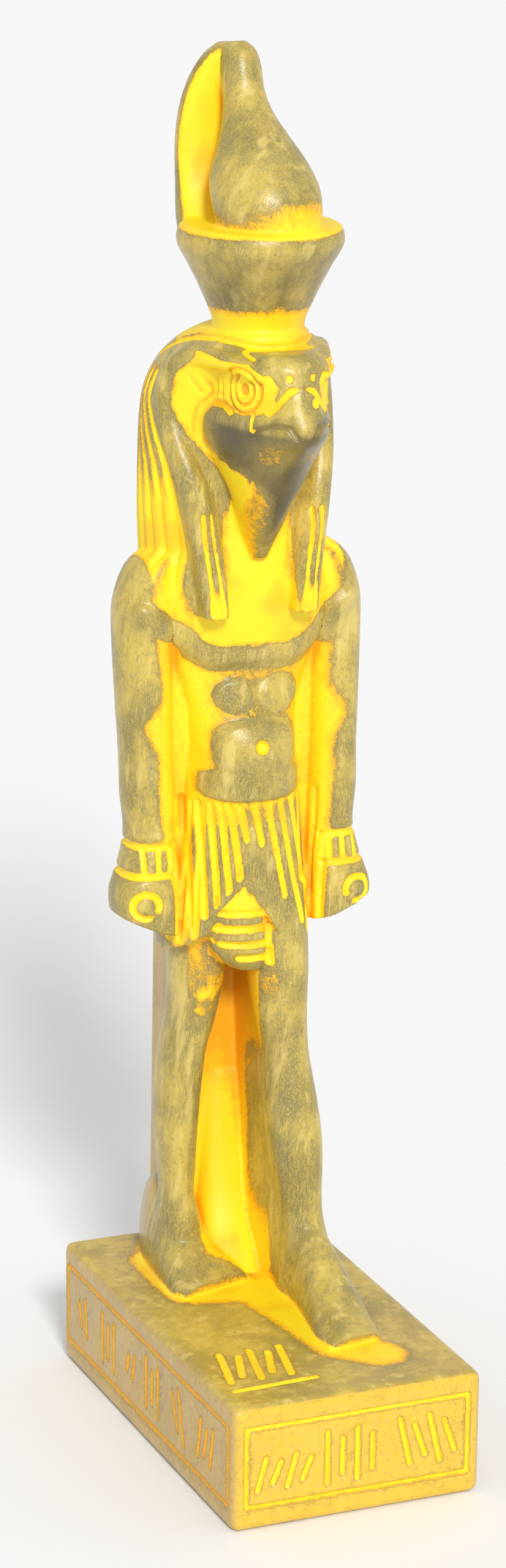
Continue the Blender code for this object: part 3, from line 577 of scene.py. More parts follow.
def soft(gap, reach):
    """1 on a line, falling smoothly to 0 at its reach."""
    return 0.5 + 0.5 * np.cos(math.pi * np.clip(gap / reach, 0, 1))


def between(value, low, high, blur=0.6):
    """1 between two levels, with soft ends."""
    return np.clip((value - low) / blur + 0.5, 0, 1) * np.clip((high - value) / blur + 0.5, 0, 1)


def patch(points, centre, half, edge=0.35, power=2.0):
    """1 inside an oval or a squarer outline, falling to 0 over its edge."""
    offset = np.abs((points - np.asarray(centre)) / np.asarray(half))
    reach = (offset ** power).sum(axis=1) ** (1 / power)
    return 1 - np.clip((reach - 1 + edge / 2) / edge, 0, 1)


def ring(points, centre, half, width):
    """Groove along an oval."""
    offset = (points - np.asarray(centre)) / np.asarray(half)
    gap = np.abs(np.linalg.norm(offset, axis=1) - 1) * min(half)
    return soft(gap, width)


def stroke_group(middle, low, high, count, lean):
    """Strokes side by side that spell nothing, all leaning one way."""
    lines = []
    for k in range(count):
        at = middle + (k - (count - 1) / 2) * STROKE_STEP
        short = 0.16 * (k % 2) * (high - low)
        lines.append([(at - lean, low + short), (at + lean, high - short)])
    return lines


def plinth_relief(spots, normals):
    """Sunk borders on three sides, and groups of strokes on the front, right-hand side and top."""
    x, y, z = spots.T
    middle = GRID_BACK - BACK / GRID
    low, high = GRID_SOLE - np.array([PLINTH_HEIGHT - BORDER_FOOT, BORDER_HEAD]) / GRID
    half_width, half_depth = (np.array([PLINTH_WIDTH, PLINTH_DEPTH]) / 2 - BORDER_MARGIN) / GRID
    level = (low + high) / 2
    front, side = [], []
    for place, (foot, head), count, lean in FRONT_STROKES:
        front += stroke_group(place * half_width, low + foot, high - head, count, lean)
    for place, share, count, lean in SIDE_STROKES:
        reach = share * (high - low - SIDE_STROKE_GAP) / 2
        side += stroke_group(place * half_depth, level - reach, level + reach, count, lean)
    cut = np.zeros(len(spots))
    for along, facing, half, lines in ((x, normals[:, 1] < -0.7, half_width, front),
                                       (y - middle, normals[:, 0] < -0.7, half_depth, side),
                                       (y - middle, normals[:, 0] > 0.7, half_depth, [])):
        flat = np.stack([along, z], -1)
        frame = [(-half, low), (half, low), (half, high), (-half, high), (-half, low)]
        on_side = facing * (z < GRID_SOLE)
        cut = np.maximum(cut, soft(distance(flat, frame), BORDER_WIDTH) * 0.8 * on_side)
        for line in lines:
            cut = np.maximum(cut, soft(distance(flat, line), STROKE_WIDTH) * on_side)
    flat = np.stack([x, y - middle + half_depth], -1)
    on_top = (normals[:, 2] > 0.7) * (z < GRID_SOLE + 0.5)
    for line in stroke_group(*TOP_STROKES) + [TOP_BAR]:
        cut = np.maximum(cut, soft(distance(flat, line), STROKE_WIDTH) * on_top)
    return -STROKE_DEPTH * cut


def torso_relief(spots, normals):
    """Chest ridge, belly and belt, left standing when the ground round them was sunk."""
    x, y, z = spots.T
    front = np.clip(-normals[:, 1] * 2, 0, 1)
    flat = np.stack([x, z], -1)
    up = soft(distance(flat, CHEST_RIDGE), 2.4) * 0.8
    for centre, half, power in TORSO_PATCHES:
        up = np.maximum(up, patch(flat, centre, half, 0.3, power) * 0.6)
    navel = patch(flat, NAVEL, NAVEL_HALF, 0.6)
    return (up - 0.9 * navel) * front * between(z, 97.5, 129) * (y < 13)


def kilt_relief(spots, normals):
    """Fan of pleats on either side of a smooth overlap, and the stripes of the sash end."""
    x, y, z = spots.T
    flat = np.stack([x, z], -1)
    front = np.clip(-normals[:, 1] * 2.5, 0, 1)
    pleats = []
    for k in range(PLEATS):
        pleats.append([(-9.6 + 1.3 * k, PLEAT_TOP), (-9.4 + 1.75 * k, 78.8 + 1.6 * k)])
        top, long = -3.1 + 2.2 * k, PLEAT_LENGTHS[k]
        pleats.append([(top, PLEAT_TOP), (top + PLEAT_LEAN * long, PLEAT_TOP - long)])
    hem = curve_at(x, HEM)
    cut = np.zeros(len(spots))
    for line in pleats:
        cut = np.maximum(cut, soft(distance(flat, line), PLEAT_WIDTH) * 0.6)
    cut *= front * between(z, 74, 98.6) * (np.abs(x) < 11.4) * (y < 14) * (z > hem + 1.4)
    round_side = np.clip(np.abs(normals[:, 0]) * 2 - 0.6, 0, 1) * (np.abs(x) < 12.4)
    side = np.zeros(len(spots))
    for k in range(4):
        side = np.maximum(side, soft(np.abs(y - 8.6 - 2.2 * k), 0.7) * 0.5)
    cut = np.maximum(cut, side * round_side * between(z, 76, 98) * (y < 17))
    stripes = soft(distance(flat, [(1.9, 80.8), (2.9, 72.4)]), 0.8) * 0.5
    for left, right, level in SASH_STRIPES:
        stripes = np.maximum(stripes, soft(distance(flat, [(left, level), (right, level - 0.2)]), 0.8) * 0.6)
    on_tab = front * (y < 9.4) * (np.abs(x + 1) < 5.2) * between(z, 71.2, 83.6) * (z < hem)
    return -np.maximum(cut, stripes * on_tab)


def arm_relief(spots, normals):
    """Two-band bracelets with upright bars, and the curled groove of each fist."""
    x, y, z = spots.T
    on_arm = (np.abs(x) > 11.6) * between(z, 78, 93.5)
    level = z + 0.9 * (x > 0)
    flat = np.stack([np.abs(x), level], -1)
    outer = (normals[:, 1] < -0.2) | (np.abs(normals[:, 0]) > 0.5)
    cut = np.zeros(len(spots))
    for band in BRACELET:
        cut = np.maximum(cut, soft(np.abs(level - band), 0.65) * 0.55)
    for bar in BRACELET_BARS:
        rim = soft(np.abs(np.abs(x) - bar), 0.5) * between(level, *BRACELET) * (normals[:, 1] < -0.2)
        cut = np.maximum(cut, rim * 0.45)
    curl = ring(flat, FIST, (2.0, 1.9), 0.62) * (normals[:, 1] < -0.1) * 0.6
    curl *= (np.abs(x) > FIST[0] - 0.8) | (level > FIST[1] - 0.8)
    cut = np.maximum(cut, curl)
    return -cut * on_arm * outer * (y < 19)


def roll_line(z):
    """How far back the wig's front roll lies at a level."""
    return np.interp(z, [127, 133, 139, 144.6, 149.4, 154, 159, 163.4, 166.4],
                     [6.2, 6.4, 6.8, 7.6, 9.0, 11.2, 13.2, 12.6, 8.6])


def eye_plane(spots):
    """Places measured from the eye's middle, back along the cheek and up."""
    x, y, z = spots.T
    back = math.sin(EYE_TURN) * (np.abs(x) - EYE[0]) + math.cos(EYE_TURN) * (y - EYE[1])
    return np.stack([back, z - EYE[2]], -1)


def head_relief(spots, normals):
    """Wig strands, ringed eye, cheek curl, feathers and beak lines, the same on both sides."""
    x, y, z = spots.T
    flat = np.stack([y, z], -1)
    sideways = np.clip(np.abs(normals[:, 0]) * 3, 0, 1)
    on_face = (y < 10) * (z > 148) * (z < 168)
    cut = np.zeros(len(spots))
    lines = [(CURL, 0.8, 0.7), (TEAR, 0.5, 0.4), (NOSTRIL, 0.5, 0.45), (MOUTH, 0.55, 0.5), (BROW, 0.5, 0.25)]
    lines += [(((3.0 + 1.4 * k, 160.9), (3.6 + 1.5 * k, 163.2)), 0.5, 0.25) for k in range(FEATHERS)]
    for line, width, depth in lines:
        cut = np.maximum(cut, soft(distance(flat, line), width) * depth * sideways * on_face)
    eye = eye_plane(spots)
    near_eye = sideways * (y < 4) * (z > 158) * (z < 168)
    cut = np.maximum(cut, patch(eye, (0, 0), (0.8, 1.0), 0.5) * 0.3 * near_eye)
    for half, width, depth in (((2.0, 2.2), 0.4, 0.3), ((3.3, 3.3), 0.55, 0.45)):
        cut = np.maximum(cut, ring(eye, (0, 0), half, width) * depth * near_eye)
    up = np.maximum(ring(eye, (0, 0), (1.4, 1.6), 0.5), ring(eye, (0, 0), (2.65, 2.75), 0.55))
    up *= 0.28 * near_eye
    cut = np.maximum(cut, soft(distance(flat, HAIR_LINE), 0.55) * 0.4 * (z > 163))
    for dot in FOREHEAD_DOTS:
        cut = np.maximum(cut, patch(np.stack([x, z], -1), dot, DOT_HALF, 0.6) * 0.3 * (y < -5))
    start = np.arctan2(roll_line(z) + 1.8 - WIG_MIDDLE, WIG_HALF)
    turn = (np.arctan2(y - WIG_MIDDLE, np.abs(x)) - start) / (math.pi / 2 - start)
    strands = soft(np.abs((turn * STRANDS) % 1 - 0.5) * 2.2, 0.8) * 0.45
    on_wig = between(z, 131, 163, 2) * (turn > 0) * (np.abs(x) < 15.4) * (y < WIG_REAR)
    cut = np.maximum(cut, strands * on_wig)
    wide = np.abs(x)
    lappet = between(z, 127.8, 143) * (y < 9.0) * (wide > 4.4) * (wide < 11) * (normals[:, 1] < -0.2)
    centre = np.interp(z, [127.3, 133, 140], [7.1, 7.6, 8.6])
    for offset in (-0.7, 0.9):
        cut = np.maximum(cut, soft(np.abs(wide - centre - offset), 0.5) * 0.45 * lappet)
    return (up - cut) * (z > 126)


def placed(name, data):
    """New object in the scene."""
    holder = bpy.data.objects.new(name, data)
    bpy.context.scene.collection.objects.link(holder)
    return holder


def applied(holder):
    """Mesh of an object with its modifiers applied; the object itself goes."""
    graph = bpy.context.evaluated_depsgraph_get()
    mesh = bpy.data.meshes.new_from_object(holder.evaluated_get(graph))
    bpy.data.objects.remove(holder)
    return mesh


def fuse(meshes, grain):
    """One mesh out of all the forms, made one skin by a fine remesh."""
    joined = bmesh.new()
    for mesh in meshes:
        joined.from_mesh(mesh)
        bpy.data.meshes.remove(mesh)
    block_mesh = bpy.data.meshes.new("block")
    joined.to_mesh(block_mesh)
    joined.free()
    rough = placed("rough", block_mesh)
    remesh = rough.modifiers.new("grain", "REMESH")
    remesh.mode = "VOXEL"
    remesh.voxel_size = grain
    soften = rough.modifiers.new("soften", "SMOOTH")
    soften.factor = 0.5
    soften.iterations = SOFTENING
    return applied(rough)


def read(mesh):
    """Vertex places and normals of a mesh."""
    count = len(mesh.vertices)
    spots = np.empty(count * 3)
    mesh.vertices.foreach_get("co", spots)
    normals = np.empty(count * 3)
    mesh.vertex_normals.foreach_get("vector", normals)
    return spots.reshape(-1, 3), normals.reshape(-1, 3)


def carve(mesh):
    """Move the surface in and out for the relief, and in by a slight hand-made wave."""
    spots, normals = read(mesh)
    drawn = to_grid(spots)
    height = np.zeros(len(spots))
    for part_relief, low, high in ((plinth_relief, -1, GRID_SOLE + 1), (kilt_relief, 70, 99),
                                   (torso_relief, 96, 130), (arm_relief, 76, 95),
                                   (head_relief, 126, 171)):
        rows = np.flatnonzero((drawn[:, 2] > low) & (drawn[:, 2] < high))
        height[rows] += part_relief(drawn[rows], normals[rows])
    x, y, z = drawn.T
    wave = np.sin(1.9 * x + 0.8 * z + 0.5 * y) * np.sin(1.7 * z - 0.6 * x + 1.5 * y)
    wave = HAND_WAVE * (wave - 1) * (z > 1)
    moved = spots + normals * ((height + wave) * GRID)[:, None]
    mesh.vertices.foreach_set("co", moved.ravel())
    mesh.update()
    return height


def carried(values, dense, spots):
    """Values of the dense surface, read at the nearest points of the thinned one."""
    tree = KDTree(len(dense))
    for k, place in enumerate(dense):
        tree.insert(place, k)
    tree.balance()
    return np.array([values[tree.find(place)[1]] for place in spots])


def thin(mesh, triangles):
    """Fewer triangles, kept where the surface bends."""
    carrier = placed("carrier", mesh)
    count = sum(len(face.vertices) - 2 for face in mesh.polygons)
    decimate = carrier.modifiers.new("thin", "DECIMATE")
    decimate.ratio = min(1.0, triangles / count)
    return applied(carrier)


def hollowness(mesh, rays):
    """How closed in each point is, over a near and a far reach, from a fan of short rays."""
    spots, normals = read(mesh)
    tree = BVHTree.FromPolygons([tuple(p) for p in spots], [tuple(f.vertices) for f in mesh.polygons])
    turn = np.arange(rays) * RAY_TURN
    rise = np.sqrt((np.arange(rays) + 0.5) / rays)
    fan = np.stack([np.cos(turn) * rise, np.sin(turn) * rise, np.sqrt(1 - rise ** 2)], -1)
    side = np.cross(normals, np.where(np.abs(normals[:, 2:]) < 0.9, [[0, 0, 1.0]], [[1.0, 0, 0]]))
    side /= np.linalg.norm(side, axis=1)[:, None]
    other = np.cross(normals, side)
    near = np.zeros(len(spots))
    far = np.zeros(len(spots))
    starts = spots + normals * SKIN_GAP
    for a, b, c in fan:
        ways = a * side + b * other + c * normals
        gaps = np.full(len(spots), 1.0)
        for k in range(len(spots)):
            hit = tree.ray_cast(starts[k], ways[k], FAR_REACH)[3]
            if hit is not None:
                gaps[k] = hit
        near += np.clip(1 - gaps / NEAR_REACH, 0, 1)
        far += np.clip(1 - gaps / FAR_REACH, 0, 1)
    return near / rays, far / rays


def ease(value, low, high):
    """0 below a value, 1 above another, smooth between."""
    share = np.clip((value - low) / (high - low), 0, 1)
    return share * share * (3 - 2 * share)


def smooth_over(mesh, values, rounds):
    """Average of each point with its neighbours, several times."""
    count = len(mesh.edges)
    ends = np.empty(count * 2, dtype=np.int64)
    mesh.edges.foreach_get("vertices", ends)
    a, b = ends.reshape(-1, 2).T
    degree = np.bincount(a, minlength=len(values)) + np.bincount(b, minlength=len(values))
    for _ in range(rounds):
        total = np.bincount(a, values[b], len(values)) + np.bincount(b, values[a], len(values))
        values = 0.5 * values + 0.5 * total / np.maximum(degree, 1)
    return values


def body_pigment(x, y, z, normals):
    """More or less pigment on the torso, the kilt and the legs, its zones turned orange as painted shade
    between the legs and beside the arms, and its dark nick on the knee.
    """
    wide = np.abs(x)
    front = np.stack([x, z], -1)
    facing = np.clip(-normals[:, 1] * 2, 0, 1)
    inner = curve_at(z, ARM_EDGE)
    blur = np.where(x > 0, 2.6, 0.8)
    ground = between(z, 75, 131, 3) * (1 - ease(wide, inner - blur, inner + 0.7)) * (y < 16.8) * facing
    ground *= np.where(z < 98, ease(wide, 9.2, 10.4), 1.0)
    body = ground * (z > 97.2)
    bias = 0.95 * ground
    ridge = 1 - ease(distance(front, CHEST_RIDGE), 1.0, 2.1 + 0.5 * (x > 6))
    bias -= (1.9 - 2.3 * soft(np.abs(x - 0.2), 4.2)) * body * ridge
    for centre, half, power in TORSO_PATCHES:
        bias -= 1.9 * body * patch(front, centre, np.array(half) * 0.97, 0.5, power)
    bias -= 0.50 * body * patch(front, *SPECKLED, 0.8)
    bias += 2.8 * body * patch(front, NAVEL, NAVEL_POOL, 0.3)
    bias += 0.7 * body * soft(np.abs(x + 0.2), 3.2) * between(z, 123, 131, 1)

    # Ground behind the tab and under the hem
    hem = curve_at(x, HEM)
    bias += 1.0 * between(z, 80.5, 86) * (z < hem) * (wide < 6) * (y < 9) * facing
    under = between(z, 66, 78, 4) * (z < hem - 0.5) * (x < 4) * (x > -8) * (y < 16) * facing
    bias += 0.45 * under * (1 - patch(front, *TAB_BARE, 0.2))

    # Ground between the legs
    sunk = (normals[:, 0] < -0.35) | (y > 18.5) | ((z < 40) & (y > 11))
    web = between(z, 20, 78, 2) * (y > 9) * (x > -5.2) * (x < 5.6) * sunk * (normals[:, 1] < 0.4)
    worn = between(z, 30, 57, 7) * (1 - ease(y, 16.6, 19.4)) * (x > 2)
    bias += web * (1.0 - 1.1 * worn)
    for middle in KNEE_MARKS:
        bias += 1.0 * patch(front, middle, (1.7, 0.6), 0.8) * (y < 14)
    # Painted shade: the pigment turns orange higher up between the legs, under the kilt, and on the ground
    # beside the arms
    warm_and_shade = 0.9 * web * ease(z, 34, 58) + 0.35 * ground * ease(wide, 7, 10) * (z > 98)
    nick = patch(front, KNEE_NICK, (1.3, 0.35), 0.8) * (y < 8)
    return bias, warm_and_shade, 0.7 * nick


def head_pigment(x, y, z, normals, cut):
    """More or less pigment on the head, its dark cheeks, its chin and throat darkened as painted shade under
    the beak, the wig's back, and its orange lines and zones of painted shade.
    """
    wide = np.abs(x)
    flat = np.stack([y, z], -1)
    front = np.stack([x, z], -1)
    roll = roll_line(z)
    groove = np.clip(-cut / GROOVE_DEPTH, 0, 1)

    # Wig: front roll and the strands behind it
    on_roll = between(z, 127, 168, 1) * (1 - ease(np.abs(y - roll - 0.2), 1.8, 2.8)) * (wide > 4.5)
    behind = between(z, 131, 165, 2) * ease(y - roll, 2.0, 3.2) * (wide < 15.6) * (y < WIG_REAR)
    bias = (0.05 + 0.85 * ease(-z, -151, -141)) * behind * np.clip(np.abs(normals[:, 0]) * 2, 0.5, 1)
    brow = curve_at(y, BROW)
    temple = between(z, 137, 168, 1) * (z < brow) * (y < roll - 1.4) * (wide > curve_at(z, TEMPLE_EDGE))
    bias += 1.1 * temple * (1 - on_roll)
    bias -= 0.9 * on_roll * (1 - groove)

    # Brow band and forehead, bare below the hair line
    hair = curve_at(y, HAIR_LINE[::-1]) + 1.2 * (y < 0.5) * (wide > 4.4)
    plate = (normals[:, 2] > 0.35) & (z > 166.4) & (y < 1.5) & (wide < 4.4)
    pool = np.where(plate, ease(y, -2.9, -2.1), ease(z, hair + 0.4, hair + 0.8))
    bias += 1.0 * pool * (z < 173) * ease(z, 166.6, 167.4) * (y > -3.4)
    band = np.where(plate, y < -2.9, z < hair + 0.2)
    band = band * (z > brow - 0.2) * (y < 9) * (z > 158) * (z < 170)
    bias -= 1.8 * band * (1 - groove * (z > 163) * (y > -3))
    bias += 2.2 * plate * soft(np.abs(y + 3.6), 0.8)
    for dot in FOREHEAD_DOTS:
        bias += 2.6 * patch(front, dot, DOT_HALF, 0.6) * (y < -5)

    # Bare cheek, speckled bib and throat patch
    jaw = curve_at(wide, JAW)
    cheek = 1.0 * (z > jaw) * (z < curve_at(y, CURL_TOP)) * (y < curve_at(z, CURL_BACK))
    bib = (z > 135) * (z <= jaw) * (wide < curve_at(z, BIB_HALF)) * (y < 9)
    bias -= 2.2 * cheek * (1 - 0.8 * groove * (z > 157.2))
    bias += bib * (0.24 + 0.30 * ease(wide, 0.2, 3.2))
    bias += 1.1 * between(z, 125, 150, 2) * (wide < 5.6) * (y < 12) * (1 - bib) * (z < jaw)
    golden = patch(np.stack([wide, z], -1), *THROAT_PATCH, 0.9) * (y < -2)
    bias = bias * (1 - golden) + 0.42 * golden
    mouth = soft(distance(flat, MOUTH), 1.2) * (y < -4.6)
    bias -= 2.6 * mouth

    # Dark cheek, and painted shade under the beak on the chin and down the middle of the bib
    beak = (z > 157.2) * (z < 168) * (y < -5.2)
    chin = cheek * (z < 157.4) * (y < 3.4)
    dark = 0.34 * cheek * (1 - beak) + 0.50 * chin + 0.5 * bib * (1 - ease(wide, 0.4, 2.4)) * (z > 138)
    dark *= 1 - 0.85 * beak
    dark *= 1 - 0.4 * golden

    # Painted shade: orange in the grooves of the eye's rings and the feathers, in the eye's pit, along a line
    # beside the curl and under the brow on the temple; less round the eye and on the temple itself
    eye = np.linalg.norm(eye_plane(np.stack([x, y, z], -1)), axis=1)
    warm_and_shade = 1.3 * groove ** 3 * (eye < 4.4) - 0.3 * (eye < 4.8) - 0.25 * temple
    warm_and_shade += 0.9 * groove ** 3 * ((y > 2.4) & (y < 9.4) & (z > 160.6) & (z < 164))
    warm_and_shade += 0.9 * (1 - ease(eye, 0.7, 1.0)) * (y < 2)
    warm_and_shade += 0.6 * soft(np.abs(distance(flat, CURL) - 1.35), 0.4) * (y < roll - 1) * (z > 150)
    warm_and_shade += 0.6 * temple * soft(z - brow, 1.6) * (z < brow)
    return bias, np.maximum(dark, 0.6 * mouth), behind, warm_and_shade


def pigment_map(mesh, height):
    """Share of pigment left on the surface, and its zones from 0 to 1: dark (partly painted shade), deep
    (painted shade in hollows), golden (painted light on faces turned to the front) and a brownish tint
    (painted shade on faces turned sideways).
    """
    spots, normals = read(mesh)
    near, far = hollowness(mesh, RAYS)
    near, far = smooth_over(mesh, near, 2), smooth_over(mesh, far, 2)
    cut = smooth_over(mesh, height, 1)
    x, y, z = to_grid(spots).T
    wide = np.abs(x)
    front = np.stack([x, z], -1)
    plinth_sides = z < GRID_SOLE - 0.4
    level = NEAR_HOLD * near + FAR_HOLD * far + GROOVE_HOLD * np.clip(-cut / GROOVE_DEPTH, 0, 1)
    level -= RIDGE_LOSS * np.clip(cut / RIDGE_HEIGHT, 0, 1)
    level = np.where(plinth_sides, 0.1 + 1.2 * np.clip((-cut - 0.1) / 0.22, 0, 1), level)
    bias = np.zeros(len(spots))
    dark, strands, warm_and_shade = np.zeros((3, len(spots)))
    body = np.flatnonzero((z > GRID_SOLE + 0.4) & (z < 132))
    bias[body], warm_and_shade[body], dark[body] = body_pigment(x[body], y[body], z[body], normals[body])
    head = np.flatnonzero((z > 126) & (z < 174))
    more, black, strands[head], head_warm_shade = head_pigment(x[head], y[head], z[head], normals[head], cut[head])
    bias[head] += more
    dark[head] += black
    warm_and_shade[head] += head_warm_shade

    # Crown
    bias += 1.1 * between(z, 186, 209, 2) * (normals[:, 1] < -0.4) * (y > 15.0)
    bias += 1.0 * between(z, 183.4, 190, 1) * (normals[:, 2] > 0.45)
    bias += 0.75 * patch(front, *BULB_POOL, 0.9) * (y < 4)
    dark += 0.20 * between(z, 170, 182, 1)
    for place in CUP_SMUDGES:
        dark += 0.4 * patch(front, (place, 177.0), (1.0, 3.4), 1.0) * (y < 8)

    # Pool round the feet, and dark lines between the wig's strands
    top = (normals[:, 2] > 0.6) * (z < GRID_SOLE + 0.7) * (z > GRID_SOLE - 1.5)
    reach = distance(np.stack([x, y], -1), FOOT_HALO)
    bias += 1.1 * top * (1 - ease(reach, 2.2, np.interp(y, [0, 22], [6.2, 4.6])))
    line = strands * np.clip((-cut - 0.12) / 0.16, 0, 1) * (z < 160)
    bias -= 0.9 * line

    # The torso and the crown are worn more softly than the rest
    pigment = smooth_over(mesh, np.clip(level + bias, -0.4, 1.3), 1)
    worn = ((z > 95) & (z < 133)) | (z > 169)
    pigment = np.where(worn, 0.45 * pigment + 0.55 * smooth_over(mesh, pigment, 10), pigment)
    # Painted shade: the pigment is turned orange by how closed in each point is, and along the orange lines
    # and zones added above
    deep = np.clip(1.8 * near + 1.5 * far - 0.2 + warm_and_shade, 0, 1)
    dark = np.maximum(smooth_over(mesh, np.clip(dark, 0, 1), 4), line)
    # Painted light and shade by facing: the plinth's front, and a little of its top, are made golden as if
    # lit; faces turned sideways or back, on the plinth's sides and the pillar's flanks, take a brownish
    # painted shade, and on the plinth's sides the pigment is turned orange as painted shade
    lit_face_gold = plinth_sides * np.clip(-normals[:, 1] * 1.6 - 0.3, 0, 1)
    lit_face_gold = np.maximum(lit_face_gold, 0.22 * top)
    flank = (np.abs(normals[:, 0]) > 0.6) * (y > 22) * (z < 80) * (z > GRID_SOLE) * (wide > 4.5)
    sideways = np.clip(np.maximum(np.abs(normals[:, 0]), normals[:, 1]) * 1.6 - 0.3, 0, 1)
    shaded_side_lilac = np.maximum(plinth_sides, 0.8 * flank) * sideways
    deep = np.maximum(deep, 1.1 * plinth_sides * shaded_side_lilac)
    return {"pigment": pigment, "dark": dark, "deep": deep, "lit_face_gold": lit_face_gold, "shaded_side_lilac": shaded_side_lilac}


class Shader:
    """Short calls for building a node tree."""

    def __init__(self, name):
        self.material = bpy.data.materials.new(name)
        self.material.use_nodes = True
        self.tree = self.material.node_tree
        self.tree.nodes.clear()
        self.place = self.add("ShaderNodeTexCoord").outputs["Object"]

    def add(self, kind, **settings):
        node = self.tree.nodes.new(kind)
        for key, value in settings.items():
            setattr(node, key, value)
        return node

    def feed(self, socket, value):
        if hasattr(value, "is_linked"):
            self.tree.links.new(value, socket)
        else:
            socket.default_value = value

    def math(self, kind, a, b):
        node = self.add("ShaderNodeMath", operation=kind)
        self.feed(node.inputs[0], a)
        self.feed(node.inputs[1], b)
        return node.outputs[0]

    def attribute(self, name):
        return self.add("ShaderNodeAttribute", attribute_name=name).outputs["Fac"]

    def noise(self, scale, detail, roughness, stretch=(1, 1, 1), turn=(0, 0, 0), distortion=0.0):
        """Noise drawn out along the turned axes by the stretch."""
        mapping = self.add("ShaderNodeMapping", vector_type="TEXTURE")
        self.feed(mapping.inputs["Vector"], self.place)
        mapping.inputs["Scale"].default_value = stretch
        mapping.inputs["Rotation"].default_value = [math.radians(v) for v in turn]
        node = self.add("ShaderNodeTexNoise")
        self.feed(node.inputs["Vector"], mapping.outputs[0])
        for name, value in (("Scale", scale), ("Detail", detail), ("Roughness", roughness),
                            ("Distortion", distortion)):
            node.inputs[name].default_value = value
        return node.outputs["Fac"]

    def step(self, value, low, high):
        node = self.add("ShaderNodeMapRange", interpolation_type="SMOOTHSTEP")
        self.feed(node.inputs["Value"], value)
        node.inputs["From Min"].default_value = low
        node.inputs["From Max"].default_value = high
        return node.outputs["Result"]

    def part_of(self, value, low, high, share):
        """A smooth step from 0 up to a share."""
        return self.math("MULTIPLY", self.step(value, low, high), share)

    def mix(self, share, a, b):
        """Two colours, each from a node or a tuple, mixed by a share."""
        node = self.add("ShaderNodeMix", data_type="RGBA")
        self.feed(node.inputs[0], share)
        for socket, colour in ((6, a), (7, b)):
            self.feed(node.inputs[socket], colour + (1,) if isinstance(colour, tuple) else colour)
        return node.outputs[2]


